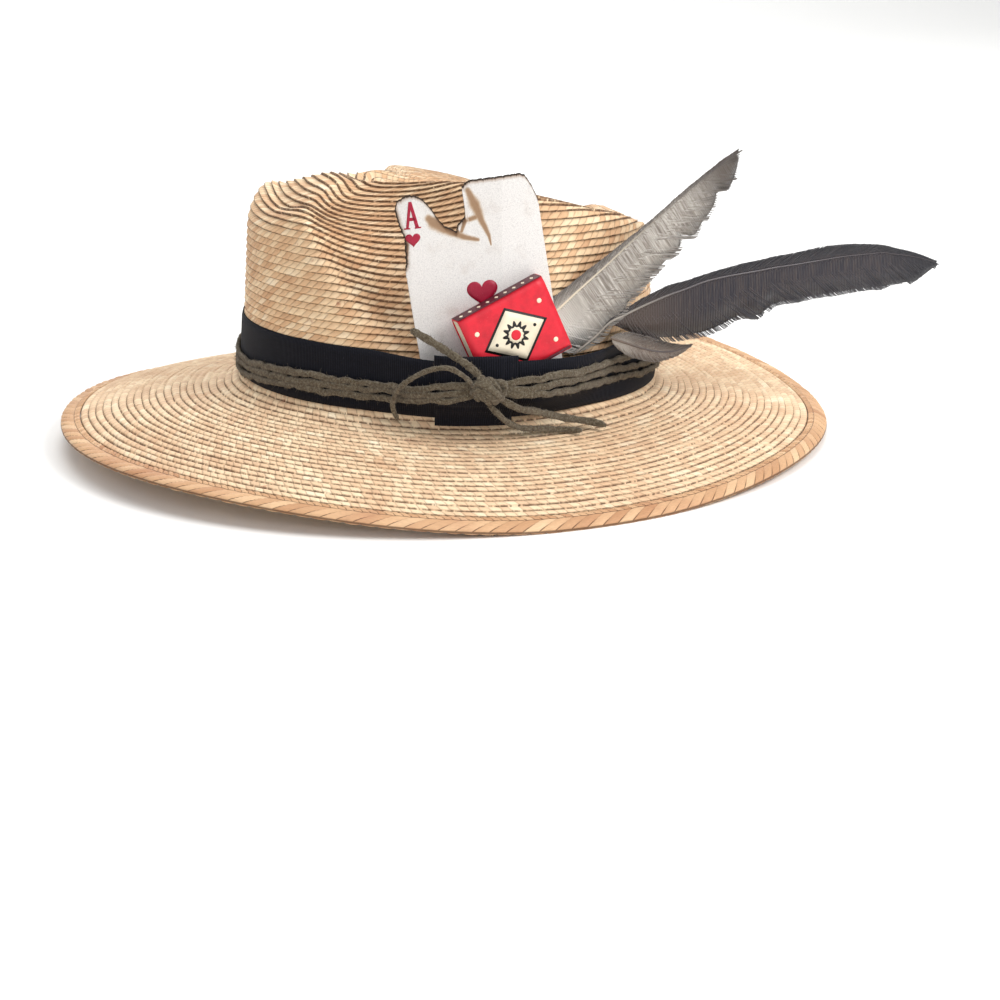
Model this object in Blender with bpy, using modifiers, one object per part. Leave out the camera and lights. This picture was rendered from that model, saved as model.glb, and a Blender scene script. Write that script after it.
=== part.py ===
"""A palm-straw hat with a pinched crown, a black ribbon, suede laces and a few keepsakes in its band.

The hat lies on a floor on the rim of its own brim. Its front points to -X, +Z is up.
The crown and the brim are one sewn shell. Everything in the band is placed on the crown's wall.
"""
import math

import bmesh
import bpy
import numpy as np
from mathutils import Matrix, Vector

HAT = "straw_hat"

# Clearance left between pieces that touch
GAP = 0.0004

# Straw shell, measured on its outside
STRAW = 0.0022
HEAD_LENGTH = 0.2021
HEAD_WIDTH = 0.1694
CROWN_HEIGHT = 0.1010
CROWN_TAPER = 0.045
CORNER_MIDDLE = 0.0092
CORNER_CHANGE = 0.0044
FOOT_HEIGHT = 0.0279
FOOT_TILT = 0.0041
FAR_SIDE_DROP = 0.0112

# Line of the crown's top: share of the half length (front is -1), share of the crown's height
TOP_LINE = (
    (-0.91, 0.865),
    (-0.75, 0.952),
    (-0.56, 0.995),
    (-0.35, 1.000),
    (-0.14, 0.990),
    (0.27, 0.913),
    (0.53, 0.846),
    (0.72, 0.779),
    (0.89, 0.702),
)

# Teardrop crease in the top
CREASE_DEPTH = 0.0233
CREASE_FRONT_WIDTH = 0.0136
CREASE_BACK_WIDTH = 0.0427

# Pinches at both front sides
PINCH_PLACE = -0.0505
PINCH_SLOPE = math.radians(47.0)
PINCH_NOSE = 0.0097
PINCH_RADIUS_NEAR = 0.0374
PINCH_RADIUS_FAR = 0.0233
PINCH_SOFTNESS = 0.0039
PINCH_DROP = 0.0019

# Brim
BRIM_LENGTH = 0.3769
BRIM_WIDTH = 0.3346
EDGE_HEIGHT = 0.0060
EDGE_PLAIT_WIDTH = 0.0105
EDGE_PLAIT_THICKNESS = 0.0033
REST_SINK = 0.0012

# Waves of the edge around the hat: order, height of the cosine, height of the sine
EDGE_WAVES = (
    (1, -0.0014, 0.0000),
    (2, 0.0048, 0.0037),
    (3, -0.0020, 0.0015),
    (4, -0.0025, 0.0000),
)

# Fall of the brim from the crown's foot: share in the round foot, its reach, share that is straight
FOOT_SHARE = 0.26
FOOT_REACH = 0.07
STRAIGHT_SHARE = 0.42
EDGE_POWER = 2.6

# Ribbon, and the flat bow folded over it
RIBBON = 0.0010
RIBBON_WIDTH = 0.0282
BOW = 0.0014
BOW_START = math.radians(249.0)
BOW_END = math.radians(267.5)
BOW_OVERHANG = 0.0029

# Push of the ribbon over the box and the quills in it: its room over the flat box, then places along the hat
PUSH_ROOM = 0.0028
PUSH_FRONT = (-0.0680, -0.0277)
PUSH_BACK = (0.0155, 0.0729)
PUSH_BACK_LOW = (-0.0078, 0.0437)
PUSH_FOOT_SHARE = 0.35

# Suede laces
LACE = 0.0023
LACE_KNOT = (0.0165, 0.0084, 0.0113)
KNOT_ANGLE = math.radians(260.2)
KNOT_HEIGHT = 0.0171
# Height of each strand's middle above the ribbon's lower edge, by the angle around the hat in degrees
LACE_HEADS = ("angle", "lace_wrap_top", "lace_wrap_middle", "lace_wrap_low")
LACE_ROWS = (
    (265.8, 0.0196, 0.0170, 0.0144),
    (281.0, 0.0214, 0.0175, 0.0133),
    (300.0, 0.0202, 0.0155, 0.0108),
    (318.0, 0.0171, 0.0127, 0.0084),
    (336.0, 0.0142, 0.0107, 0.0072),
    (360.0, 0.0128, 0.0097, 0.0064),
    (405.0, 0.0122, 0.0091, 0.0058),
    (450.0, 0.0119, 0.0085, 0.0052),
    (510.0, 0.0115, 0.0080, 0.0046),
    (538.0, 0.0103, 0.0068, 0.0035),
    (572.0, 0.0130, 0.0100, 0.0070),
    (594.0, 0.0137, 0.0108, 0.0079),
    (606.0, 0.0161, 0.0133, 0.0105),
    (614.6, 0.0187, 0.0158, 0.0130),
)

# Loose lace ends: width of the lace, then the route's points
LACE_TAILS = {
    "lace_tail_up": (0.0035, (
        (-0.0244, -0.1046, 0.0524), (-0.0296, -0.1038, 0.0575), (-0.0363, -0.1001, 0.0625),
        (-0.0439, -0.0947, 0.0677), (-0.0505, -0.0889, 0.0717),
    )),
    "lace_tail_loop": (0.0023, (
        (-0.0281, -0.1049, 0.0496), (-0.0340, -0.1061, 0.0549), (-0.0396, -0.1047, 0.0577),
        (-0.0464, -0.1012, 0.0565), (-0.0526, -0.0956, 0.0519), (-0.0569, -0.0900, 0.0460),
        (-0.0580, -0.0853, 0.0389), (-0.0566, -0.0831, 0.0336), (-0.0546, -0.0821, 0.0301),
    )),
    "lace_tail_long": (0.0027, (
        (-0.0207, -0.1044, 0.0397), (-0.0163, -0.1047, 0.0350), (-0.0115, -0.1034, 0.0305),
        (-0.0033, -0.0999, 0.0257), (0.0092, -0.0978, 0.0235), (0.0195, -0.0970, 0.0218),
        (0.0266, -0.0993, 0.0212),
    )),
    "lace_tail_short": (0.0033, (
        (-0.0148, -0.1048, 0.0413), (-0.0062, -0.1046, 0.0362), (0.0019, -0.1022, 0.0336),
        (0.0097, -0.0992, 0.0306), (0.0195, -0.0966, 0.0271), (0.0321, -0.0948, 0.0237),
        (0.0392, -0.0975, 0.0218),
    )),
}

# Playing card, burned along its top
CARD_WIDTH = 0.0650
CARD_LENGTH = 0.0889
CARD = 0.0005
CARD_ANGLE = math.radians(261.6)
CARD_ROLL = math.radians(6.0)
CARD_TUCK = 0.0120
# The card touches the crown left of its middle and bends away from there, up to the quill behind it
CARD_TOUCH = -0.0120
CARD_BEND = 0.110
# Burned top: share of the width from the left, share of the length that is left
CARD_TOP = (
    (0.00, 0.870), (0.07, 0.925), (0.15, 0.945), (0.23, 0.925), (0.30, 0.865), (0.36, 0.800),
    (0.43, 0.735), (0.49, 0.765), (0.545, 0.850), (0.56, 0.955), (0.66, 0.985), (0.78, 1.000),
    (0.90, 0.995), (0.96, 0.950), (1.00, 0.860),
)
# Burned left side: share of the length, share of the width that is gone
CARD_LEFT = ((0.00, 0.00), (0.45, 0.00), (0.62, 0.03), (0.74, 0.06), (0.86, 0.02), (1.00, 0.00))

# Matchbox
MATCHBOX_LENGTH = 0.0432
MATCHBOX_HEIGHT = 0.0359
MATCHBOX_DEPTH = 0.0089
MATCHBOX_WALL = 0.0005
MATCHBOX_ROLL = math.radians(23.3)
MATCHBOX_LEAN = math.radians(4.5)
MATCHBOX_PLACE = -0.0041
MATCHBOX_RISE = 0.0387
TRAY_INSET = 0.0004

# Feathers: thickness of the vane and of the quill
VANE = 0.0007
QUILL = 0.0014
GREY_FEATHER_LENGTH = 0.1442
GREY_FEATHER_WIDTH = 0.0249
GREY_FEATHER_PLACE = -0.0039
GREY_FEATHER_RISE = 0.0256
GREY_FEATHER_TURN = math.radians(4.2)
GREY_FEATHER_TILT = math.radians(36.1)
# Share of the length, then the quill's rise and the vane above and below it as shares of the width
GREY_VANE = (
    (0.000, 0.00, 0.03, 0.03), (0.080, 0.03, 0.03, 0.03), (0.135, 0.05, 0.06, 0.10), (0.170, 0.06, 0.14, 0.45),
    (0.200, 0.06, 0.20, 0.72), (0.240, 0.06, 0.24, 0.92), (0.290, 0.07, 0.21, 1.04), (0.335, 0.07, 0.19, 0.98),
    (0.380, 0.07, 0.18, 1.00), (0.420, 0.07, 0.15, 0.90), (0.480, 0.08, 0.12, 0.86), (0.540, 0.09, 0.09, 0.83),
    (0.600, 0.09, 0.07, 0.80), (0.665, 0.09, 0.06, 0.76), (0.690, 0.09, 0.06, 0.62), (0.705, 0.09, 0.06, 0.74),
    (0.770, 0.09, 0.06, 0.71), (0.840, 0.08, 0.05, 0.56), (0.870, 0.07, 0.05, 0.40), (0.900, 0.06, 0.05, 0.50),
    (0.955, 0.04, 0.04, 0.32), (1.000, 0.00, 0.01, 0.02),
)

BLACK_FEATHER_LENGTH = 0.2011
BLACK_FEATHER_WIDTH = 0.0249
BLACK_FEATHER_PLACE = 0.0282
BLACK_FEATHER_RISE = 0.0256
BLACK_FEATHER_TURN = math.radians(4.6)
BLACK_VANE = (
    (0.000, 0.00, 0.03, 0.03), (0.058, 0.31, 0.03, 0.03), (0.090, 0.52, 0.05, 0.05), (0.125, 0.62, 0.10, 0.24),
    (0.160, 0.72, 0.15, 0.48), (0.200, 0.82, 0.18, 0.70), (0.240, 0.91, 0.20, 0.84), (0.290, 1.00, 0.17, 0.93),
    (0.340, 1.10, 0.15, 1.00), (0.380, 1.14, 0.16, 0.96), (0.430, 1.17, 0.19, 0.84), (0.490, 1.20, 0.21, 0.89),
    (0.520, 1.22, 0.22, 0.76), (0.580, 1.24, 0.23, 0.73), (0.650, 1.27, 0.26, 0.72), (0.720, 1.30, 0.24, 0.73),
    (0.790, 1.30, 0.19, 0.71), (0.840, 1.29, 0.14, 0.71), (0.870, 1.24, 0.11, 0.62), (0.910, 1.18, 0.09, 0.56),
    (0.950, 1.10, 0.06, 0.40), (0.975, 1.04, 0.04, 0.22), (1.000, 0.97, 0.01, 0.02),
)

CURL_LENGTH = 0.0515
CURL_WIDTH = 0.0115
CURL_PLACE = 0.0389
CURL_RISE = 0.0340
CURL_TURN = math.radians(17.5)
CURL_STAND = 0.0143
CURL_VANE = (
    (0.00, 0.00, 0.10, 0.10), (0.12, -0.22, 0.28, 0.28), (0.25, -0.45, 0.42, 0.46), (0.40, -0.72, 0.50, 0.52),
    (0.55, -0.94, 0.46, 0.46), (0.72, -1.08, 0.36, 0.30), (0.87, -1.08, 0.20, 0.18), (1.00, -0.99, 0.03, 0.03),
)

# Segments around the hat, and rows up the crown and across the brim
AROUND = 60
CROWN_ROWS = 13
BRIM_ROWS = 5
RIBBON_ROWS = 5


def ease(value):
    """Rise smoothly from 0 to 1 as the value goes from 0 to 1."""
    value = np.clip(value, 0.0, 1.0)
    return value * value * (3.0 - 2.0 * value)


def soft_excess(value, softness):
    """The part of a value above zero, with a rounded corner at zero."""
    return softness * np.logaddexp(0.0, value / softness)


def smooth_through(table, share, column):
    """Read a column of a table at any share with a smooth curve (Catmull-Rom) through its rows."""
    rows = np.array(table)
    at, values = rows[:, 0], rows[:, column]
    slopes = np.gradient(values, at)
    index = np.clip(np.searchsorted(at, share, side="right") - 1, 0, len(at) - 2)
    width = at[index + 1] - at[index]
    part = np.clip((share - at[index]) / width, 0.0, 1.0)
    start = (1 + 2 * part) * (1 - part) ** 2 * values[index] + part * (1 - part) ** 2 * width * slopes[index]
    end = part ** 2 * (3 - 2 * part) * values[index + 1] + part ** 2 * (part - 1) * width * slopes[index + 1]
    return start + end


def foot_height(angle):
    """Height of the crown's foot: the hat tips a little from front to back."""
    return FOOT_HEIGHT - FOOT_TILT * np.cos(angle)


def edge_height(angle):
    """Height of the middle of the brim's edge: a few waves around the hat, laid flat on the floor below."""
    height = EDGE_HEIGHT + 0.0 * angle
    for order, cosine, sine in EDGE_WAVES:
        height = height + cosine * np.cos(order * angle) + sine * np.sin(order * angle)
    lowest = EDGE_PLAIT_THICKNESS / 2 - REST_SINK
    return lowest + soft_excess(height - lowest, REST_SINK / 4)


def top_height(x):
    """Height of the crown's top line at a place along the hat."""
    line = np.array(TOP_LINE)
    curve = np.polyfit(line[:, 0], line[:, 1], 4)
    share = np.clip(x / (HEAD_LENGTH / 2), line[0, 0] - 0.05, line[-1, 0] + 0.05)
    return FOOT_HEIGHT + CROWN_HEIGHT * np.polyval(curve, share)


def corner_radius(angle):
    """Radius of the crown's upper corner: soft in front, crisp behind."""
    return CORNER_MIDDLE - CORNER_CHANGE * np.cos(angle)


def wall_top(angle):
    """Height where the straight wall ends under the rounded corner."""
    x = HEAD_LENGTH / 2 * (1 - CROWN_TAPER) * np.cos(angle)
    return top_height(x) - corner_radius(angle)


def wall(angle, height, stand=0.0):
    """Point on the crown's wall at an angle and a height, standing off it by a distance."""
    share = (height - foot_height(angle)) / (wall_top(angle) - foot_height(angle))
    scale = 1 - CROWN_TAPER * share
    x = (HEAD_LENGTH / 2 * scale + stand) * np.cos(angle)
    y = (HEAD_WIDTH / 2 * scale + stand) * np.sin(angle)
    return np.stack(np.broadcast_arrays(x, y, height), axis=-1)


def angle_at(x):
    """Angle on the near side where the wall's foot has this place along the hat."""
    return 2 * math.pi - math.acos(max(-1.0, min(1.0, x / (HEAD_LENGTH / 2))))


def crown_raw(angle, rise):
    """Open crown before it is creased: rise 0 to 1 is the wall, 1 to 2 the corner, 2 to 3 the top."""
    straight = np.clip(rise, 0.0, 1.0)
    turn = np.clip(rise - 1.0, 0.0, 1.0) * math.pi / 2
    inward = 1 - np.clip(rise - 2.0, 0.0, 1.0)
    radius = corner_radius(angle)
    mean_radius = (HEAD_LENGTH + HEAD_WIDTH) / 4
    scale = (1 - CROWN_TAPER * straight - radius / mean_radius * (1 - np.cos(turn))) * inward
    x = HEAD_LENGTH / 2 * scale * np.cos(angle)
    y = HEAD_WIDTH / 2 * scale * np.sin(angle)
    top = top_height(HEAD_LENGTH / 2 * (1 - CROWN_TAPER) * np.cos(angle) * inward)
    along, across = x / HEAD_LENGTH, y / HEAD_WIDTH
    far = ease((across + 0.029) / 0.287) * ease((along + 0.288) / 0.240)
    top = top - FAR_SIDE_DROP * far * (1 + 0.35 * ease((along - 0.144) / 0.192))
    foot = foot_height(angle)
    z = foot + (top - radius - foot) * straight + radius * np.sin(turn)
    return x, y, z


def creased(x, y, z):
    """Push the teardrop crease into the top and a pinch into each front side."""
    along = x / (HEAD_LENGTH / 2)
    width = CREASE_FRONT_WIDTH + (CREASE_BACK_WIDTH - CREASE_FRONT_WIDTH) * ease(along + 0.566)
    width = width * (1 - 0.55 * ease((along - 0.411) / 0.457))
    shape = np.exp(-np.abs(y / width) ** 3) * ease((along + 0.603) / 0.411) * ease((0.785 - along) / 0.365)
    near_top = ease(((z - top_height(x)) / CROWN_HEIGHT + 0.192) / 0.173)
    z = z - CREASE_DEPTH * shape * near_top
    ridge = top_height(np.full_like(x, PINCH_PLACE)) - PINCH_DROP
    for side, radius in ((-1, PINCH_RADIUS_NEAR), (1, PINCH_RADIUS_FAR)):
        out, up = side * math.sin(PINCH_SLOPE), math.cos(PINCH_SLOPE)
        above = out * (y - side * PINCH_NOSE) + up * (z - ridge) - (x - PINCH_PLACE) ** 2 / (2 * radius)
        push = soft_excess(above, PINCH_SOFTNESS)
        y = y - push * out
        z = z - push * up
    return x, y, z


def crown_meridian(angle, shares):
    """Points up one side of the crown at shares of its true length, from the foot to the tip."""
    rise = np.concatenate([np.linspace(0, 1, 60), np.linspace(1, 2, 24)[1:], np.linspace(2, 3, 110)[1:]])
    points = np.stack(creased(*crown_raw(np.full_like(rise, angle), rise)), axis=-1)
    length = np.concatenate([[0.0], np.cumsum(np.linalg.norm(np.diff(points, axis=0), axis=1))])
    return np.stack([np.interp(np.array(shares) * length[-1], length, points[:, k]) for k in range(3)], axis=-1)


def brim_point(share, angle):
    """Point on the brim's upper side: share 0 at the crown's foot, 1 at the edge of the whole brim."""
    x = (HEAD_LENGTH / 2 * (1 - share) + BRIM_LENGTH / 2 * share) * np.cos(angle)
    y = (HEAD_WIDTH / 2 * (1 - share) + BRIM_WIDTH / 2 * share) * np.sin(angle)
    curve = STRAIGHT_SHARE * share + (1 - STRAIGHT_SHARE) * share ** EDGE_POWER
    fall = FOOT_SHARE * (1 - np.exp(-share / FOOT_REACH)) + (1 - FOOT_SHARE) * curve
    z = foot_height(angle) + (edge_height(angle) - foot_height(angle)) * fall
    return np.stack(np.broadcast_arrays(x, y, z), axis=-1)


def edge_share():
    """Share of the brim where the sewn shell ends and the edge plait begins."""
    return 1 - EDGE_PLAIT_WIDTH / ((BRIM_WIDTH - HEAD_WIDTH) / 2)


def box_stand():
    """Distance from the crown's wall to the matchbox's back: the quill and the card lie between them."""
    return QUILL + CARD + 3 * GAP + MATCHBOX_HEIGHT / 4 * math.sin(MATCHBOX_LEAN)


def ribbon_push(angle, share):
    """How far the ribbon is pushed off the wall by what is tucked under it; share 0 is its lower edge."""
    x = HEAD_LENGTH / 2 * np.cos(angle)
    near = np.sin(angle) < 0
    upper = ease(share / 0.45)
    back_start = PUSH_BACK_LOW[0] + (PUSH_BACK[0] - PUSH_BACK_LOW[0]) * share
    back_end = PUSH_BACK_LOW[1] + (PUSH_BACK[1] - PUSH_BACK_LOW[1]) * share
    front = ease((x - PUSH_FRONT[0]) / (PUSH_FRONT[1] - PUSH_FRONT[0]))
    back = 1 - ease((x - back_start) / (back_end - back_start))
    strength = PUSH_FOOT_SHARE + (1 - PUSH_FOOT_SHARE) * upper
    return np.where(near, (box_stand() + MATCHBOX_DEPTH + PUSH_ROOM) * strength * front * back, 0.0)


def on_ribbon(angle, height, stand):
    """Point that stands off the ribbon's inner face; height is measured from the ribbon's lower edge."""
    share = np.clip(height / RIBBON_WIDTH, 0.0, 1.0)
    return wall(angle, foot_height(angle) + height, GAP + ribbon_push(angle, share) + stand)


def band_heights():
    """Heights of the ribbon's rows above its lower edge."""
    return np.linspace(GAP, RIBBON_WIDTH, RIBBON_ROWS)


def band_point(column, height):
    """Point on the ribbon's inner face as its facets run, at one of the columns around the hat."""
    heights = band_heights()
    angle = 2 * math.pi * column / AROUND
    profile = np.array([on_ribbon(angle, row, 0.0) for row in heights])
    index = int(np.clip(np.searchsorted(heights, height) - 1, 0, RIBBON_ROWS - 2))
    up = (profile[index + 1] - profile[index]) / (heights[index + 1] - heights[index])
    return profile[index] + up * (height - heights[index]), up


def off_column(column, height, stand):
    """Point at one of the columns that stands at a true distance off the ribbon's inner face."""
    before = band_point(column - 1, height)[0]
    point, up = band_point(column, height)
    after = band_point(column + 1, height)[0]
    normals = [np.cross(point - before, up), np.cross(after - point, up)]
    first, second = (normal / np.linalg.norm(normal) for normal in normals)
    middle = (first + second) / np.linalg.norm(first + second)
    return point + middle * stand / np.dot(middle, first)


def off_band(angle, height, stand):
    """Point at any angle that stands at a true distance off the ribbon's inner face."""
    place = angle / (2 * math.pi) * AROUND
    column = math.floor(place + 1e-9)
    part = place - column
    near, far = (off_column(column + step, height, stand) for step in (0, 1))
    return near * (1 - part) + far * part


def columns_between(start, end):
    """Angles from a start to an end, with every column of the ribbon that lies between them."""
    step = 2 * math.pi / AROUND
    inner = [k * step for k in range(math.ceil(start / step + 0.05), math.floor(end / step - 0.05) + 1)]
    return [start, *inner, end]


def principled(name, colour, roughness=0.8):
    """Material with the piece's colour and roughness."""
    material = bpy.data.materials.new(name)
    material.use_nodes = True
    shader = material.node_tree.nodes["Principled BSDF"]
    shader.inputs["Base Color"].default_value = (*colour, 1.0)
    shader.inputs["Roughness"].default_value = roughness
    return material


def add_object(name, data, material, collection, parent):
    """Put mesh or curve data into the scene as one named piece."""
    piece = bpy.data.objects.new(name, data)
    data.materials.append(material)
    collection.objects.link(piece)
    piece.parent = parent
    return piece


def grid_mesh(name, points, closed, tip=None):
    """Mesh through a grid of points.

    A closed grid joins its last column to its first. A tip closes the far end of every column.
    """
    columns, rows = points.shape[:2]
    mesh = bpy.data.meshes.new(name)
    places = [tuple(point) for point in points.reshape(-1, 3)]
    faces = []
    for column in range(columns if closed else columns - 1):
        here = column * rows
        there = (column + 1) % columns * rows
        for row in range(rows - 1):
            faces.append((here + row, there + row, there + row + 1, here + row + 1))
        if tip is not None:
            faces.append((here + rows - 1, there + rows - 1, len(places)))
    if tip is not None:
        places.append(tuple(tip))
    mesh.from_pydata(places, [], faces)
    mesh.shade_smooth()
    return mesh


def solidify(piece, thickness):
    """Give an open surface its thickness, on the side that its faces point to."""
    shell = piece.modifiers.new("wall", "SOLIDIFY")
    shell.thickness = thickness
    shell.offset = 1.0
    shell.use_even_offset = True
    return shell


def loft_mesh(name, sections, ring):
    """Closed body through sections of equal point count; a ring joins its last section to its first."""
    count, size = sections.shape[:2]
    mesh = bpy.data.meshes.new(name)
    faces = []
    for index in range(count if ring else count - 1):
        following = (index + 1) % count
        for corner in range(size):
            after = (corner + 1) % size
            faces.append((
                index * size + corner, index * size + after, following * size + after, following * size + corner
            ))
    if not ring:
        faces.append(tuple(range(size - 1, -1, -1)))
        faces.append(tuple((count - 1) * size + corner for corner in range(size)))
    mesh.from_pydata([tuple(point) for point in sections.reshape(-1, 3)], [], faces)
    shape = bmesh.new()
    shape.from_mesh(mesh)
    bmesh.ops.recalc_face_normals(shape, faces=shape.faces)
    shape.to_mesh(mesh)
    shape.free()
    mesh.shade_smooth()
    return mesh


def straw_body(collection, parent):
    """Crown and brim as one open surface from the brim's edge up to the crown's tip, with its wall."""
    angles = np.linspace(0, 2 * math.pi, AROUND, endpoint=False)
    out = np.linspace(edge_share(), 0.0, BRIM_ROWS, endpoint=False) ** 1.25
    shares = np.linspace(0.0, 1.0, CROWN_ROWS, endpoint=False)
    columns = []
    for angle in angles:
        brim = brim_point(out * edge_share() / out[0], angle)
        columns.append(np.concatenate([brim, crown_meridian(angle, shares)]))
    points = np.array(columns)
    mesh = grid_mesh("straw_body", points, closed=True, tip=crown_meridian(0.0, [1.0])[0])
    straw = principled("palm straw", (0.78, 0.60, 0.36))
    body = add_object("straw_body", mesh, straw, collection, parent)
    shell = solidify(body, STRAW)
    shell.offset = -1.0
    return body


def edge_plait(collection, parent):
    """Flat plait sewn around the brim's edge, pressed flat where the hat rests on the floor."""
    angles = np.linspace(0, 2 * math.pi, AROUND, endpoint=False)
    inner = brim_point(edge_share(), angles)
    outward = np.stack([np.cos(angles) * BRIM_WIDTH, np.sin(angles) * BRIM_LENGTH, 0 * angles], axis=-1)
    outward /= np.linalg.norm(outward, axis=1)[:, None]
    half = EDGE_PLAIT_THICKNESS / 2
    reach = EDGE_PLAIT_WIDTH - GAP
    # Section from the inner lower corner round to the inner upper corner: share of the width, share of half
    section = (
        (0.00, -0.75), (0.25, -1.00), (0.75, -1.00), (1.00, -0.45),
        (1.00, 0.45), (0.78, 1.00), (0.22, 1.00), (0.00, 0.75),
    )
    drop = inner[:, 2] - STRAW / 2 - edge_height(angles)
    sections = []
    for across, level in section:
        point = inner + outward * (GAP + reach * across)
        point[:, 2] = inner[:, 2] - STRAW / 2 - drop * across + half * level
        point[:, 2] = np.maximum(point[:, 2], 0.0)
        sections.append(point)
    mesh = loft_mesh("edge_plait", np.array(sections).transpose(1, 0, 2), ring=True)
    straw = principled("edge straw", (0.72, 0.53, 0.30))
    return add_object("edge_plait", mesh, straw, collection, parent)


def hat_band(collection, parent):
    """Black ribbon around the crown's foot, pushed out where things are tucked under it."""
    angles = np.linspace(0, 2 * math.pi, AROUND, endpoint=False)
    heights = np.linspace(GAP, RIBBON_WIDTH, RIBBON_ROWS)
    points = np.array([[on_ribbon(angle, height, 0.0) for height in heights] for angle in angles])
    cotton = principled("black ribbon", (0.012, 0.013, 0.018), 0.7)
    band = add_object("hat_band", grid_mesh("hat_band", points, closed=True), cotton, collection, parent)
    solidify(band, RIBBON)
    return band


def ribbon_bow(collection, parent):
    """Flat bow: a folded piece of the same ribbon that lies over the band under the knot."""
    columns = []
    for angle in columns_between(BOW_START, BOW_END):
        column = [off_band(angle, height, 0.0) for height in band_heights()]
        outward = np.array([math.cos(angle), math.sin(angle), -1.0])
        columns.append([column[0] + outward * BOW_OVERHANG, *column[:-1], column[-1] - (column[-1] - column[-2]) * 0.1])
    mesh = grid_mesh("ribbon_bow", np.array(columns), closed=False)
    cotton = principled("bow ribbon", (0.014, 0.015, 0.021), 0.7)
    bow = add_object("ribbon_bow", mesh, cotton, collection, parent)
    # Its own thickness, one clearance off the ribbon's outer face
    shell = solidify(bow, BOW)
    shell.offset = 1 + 2 * (RIBBON + GAP) / BOW
    return bow


def lace_stand(angle):
    """How far a strand's middle stands off the ribbon's inner face: more where it crosses the bow."""
    plain = RIBBON + GAP + LACE / 2
    lift = math.radians(5.0)
    over = ease((angle - BOW_START + 2 * lift) / lift) * ease((BOW_END + 2 * lift - angle) / lift)
    return plain + (BOW + GAP) * over


def polyline(name, points, diameter, material, collection, parent, resolution=2):
    """Round lace along points, with filled ends."""
    curve = bpy.data.curves.new(name, "CURVE")
    curve.dimensions = "3D"
    curve.bevel_depth = diameter / 2
    curve.bevel_resolution = resolution
    curve.use_fill_caps = True
    line = curve.splines.new("POLY")
    line.points.add(len(points) - 1)
    for place, point in zip(line.points, points):
        place.co = (*point, 1.0)
    return add_object(name, curve, material, collection, parent)


def lace_wraps(collection, parent):
    """Three strands around the ribbon, from one side of the knot to the other."""
    suede = principled("suede lace", (0.16, 0.14, 0.11), 0.95)
    turn = columns_between(math.radians(LACE_ROWS[0][0]), math.radians(LACE_ROWS[-1][0]))
    for column, name in list(enumerate(LACE_HEADS))[1:]:
        points = []
        for angle in turn:
            height = float(smooth_through(LACE_ROWS, math.degrees(angle), column))
            points.append(off_band(angle, height, lace_stand(angle % (2 * math.pi))))
        polyline(name, points, LACE, suede, collection, parent, resolution=1)


def lace_knot(collection, parent):
    """Lumpy double knot that the strands run into."""
    shape = bmesh.new()
    bmesh.ops.create_uvsphere(shape, u_segments=16, v_segments=9, radius=0.5)
    for vertex in shape.verts:
        lobes = 1 + 0.07 * math.cos(3 * math.atan2(vertex.co.z, vertex.co.x) + 0.6)
        lobes += 0.05 * math.cos(9 * vertex.co.x + 5 * vertex.co.z)
        vertex.co *= lobes
        vertex.co = Vector([vertex.co[axis] * LACE_KNOT[axis] for axis in range(3)])
    mesh = bpy.data.meshes.new("lace_knot")
    shape.to_mesh(mesh)
    shape.free()
    mesh.shade_smooth()
    suede = principled("suede knot", (0.17, 0.15, 0.12), 0.95)
    knot = add_object("lace_knot", mesh, suede, collection, parent)
    stand = RIBBON + GAP + BOW + GAP + LACE_KNOT[1] / 2 * 1.02
    knot.location = Vector(on_ribbon(KNOT_ANGLE, KNOT_HEIGHT, stand))
    return knot


def smooth_route(points, spacing):
    """Evenly spaced points on a smooth curve through a route's own points."""
    route = np.array(points)
    marks = np.concatenate([[0.0], np.cumsum(np.linalg.norm(np.diff(route, axis=0), axis=1))])
    table = np.column_stack([marks, route])
    count = max(3, int(marks[-1] / spacing) + 1)
    at = np.linspace(0.0, marks[-1], count)
    return np.stack([smooth_through(table, at, column) for column in (1, 2, 3)], axis=-1)


def lace_tails(collection, parent):
    """Four loose ends that leave the knot."""
    suede = principled("suede end", (0.18, 0.155, 0.12), 0.95)
    for name, (width, points) in LACE_TAILS.items():
        polyline(name, smooth_route(points, 2 * width), width, suede, collection, parent)


def card_top(share):
    """Share of the card's length that is left at a share of its width."""
    rows = np.array(CARD_TOP)
    return np.interp(share, rows[:, 0], rows[:, 1])


def card_point(across, up):
    """Point on the card's back, measured across from its middle and up from its foot."""
    side = across * math.cos(CARD_ROLL) - up * math.sin(CARD_ROLL)
    height = up * math.cos(CARD_ROLL) + across * math.sin(CARD_ROLL)
    angle = CARD_ANGLE + side / (HEAD_LENGTH / 2 * (1 - CROWN_TAPER / 2))
    level = foot_height(angle) + RIBBON_WIDTH - CARD_TUCK + height
    lift = min(QUILL + GAP, (side - CARD_TOUCH) ** 2 / (2 * CARD_BEND))
    return wall(angle, level, GAP + lift)


def playing_card(collection, parent):
    """Playing card tucked behind the ribbon, with its burned upper outline."""
    left = np.array(CARD_LEFT)
    columns = []
    for share in (row[0] for row in CARD_TOP):
        column = []
        for rise in np.linspace(0.0, float(card_top(share)), 7):
            gone = np.interp(rise, left[:, 0], left[:, 1]) * (1 - share) ** 2
            column.append(card_point((share + gone - 0.5) * CARD_WIDTH, rise * CARD_LENGTH))
        columns.append(column)
    paper = principled("card paper", (0.80, 0.79, 0.76), 0.6)
    mesh = grid_mesh("playing_card", np.array(columns), closed=False)
    card = add_object("playing_card", mesh, paper, collection, parent)
    solidify(card, CARD)
    return card


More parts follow.
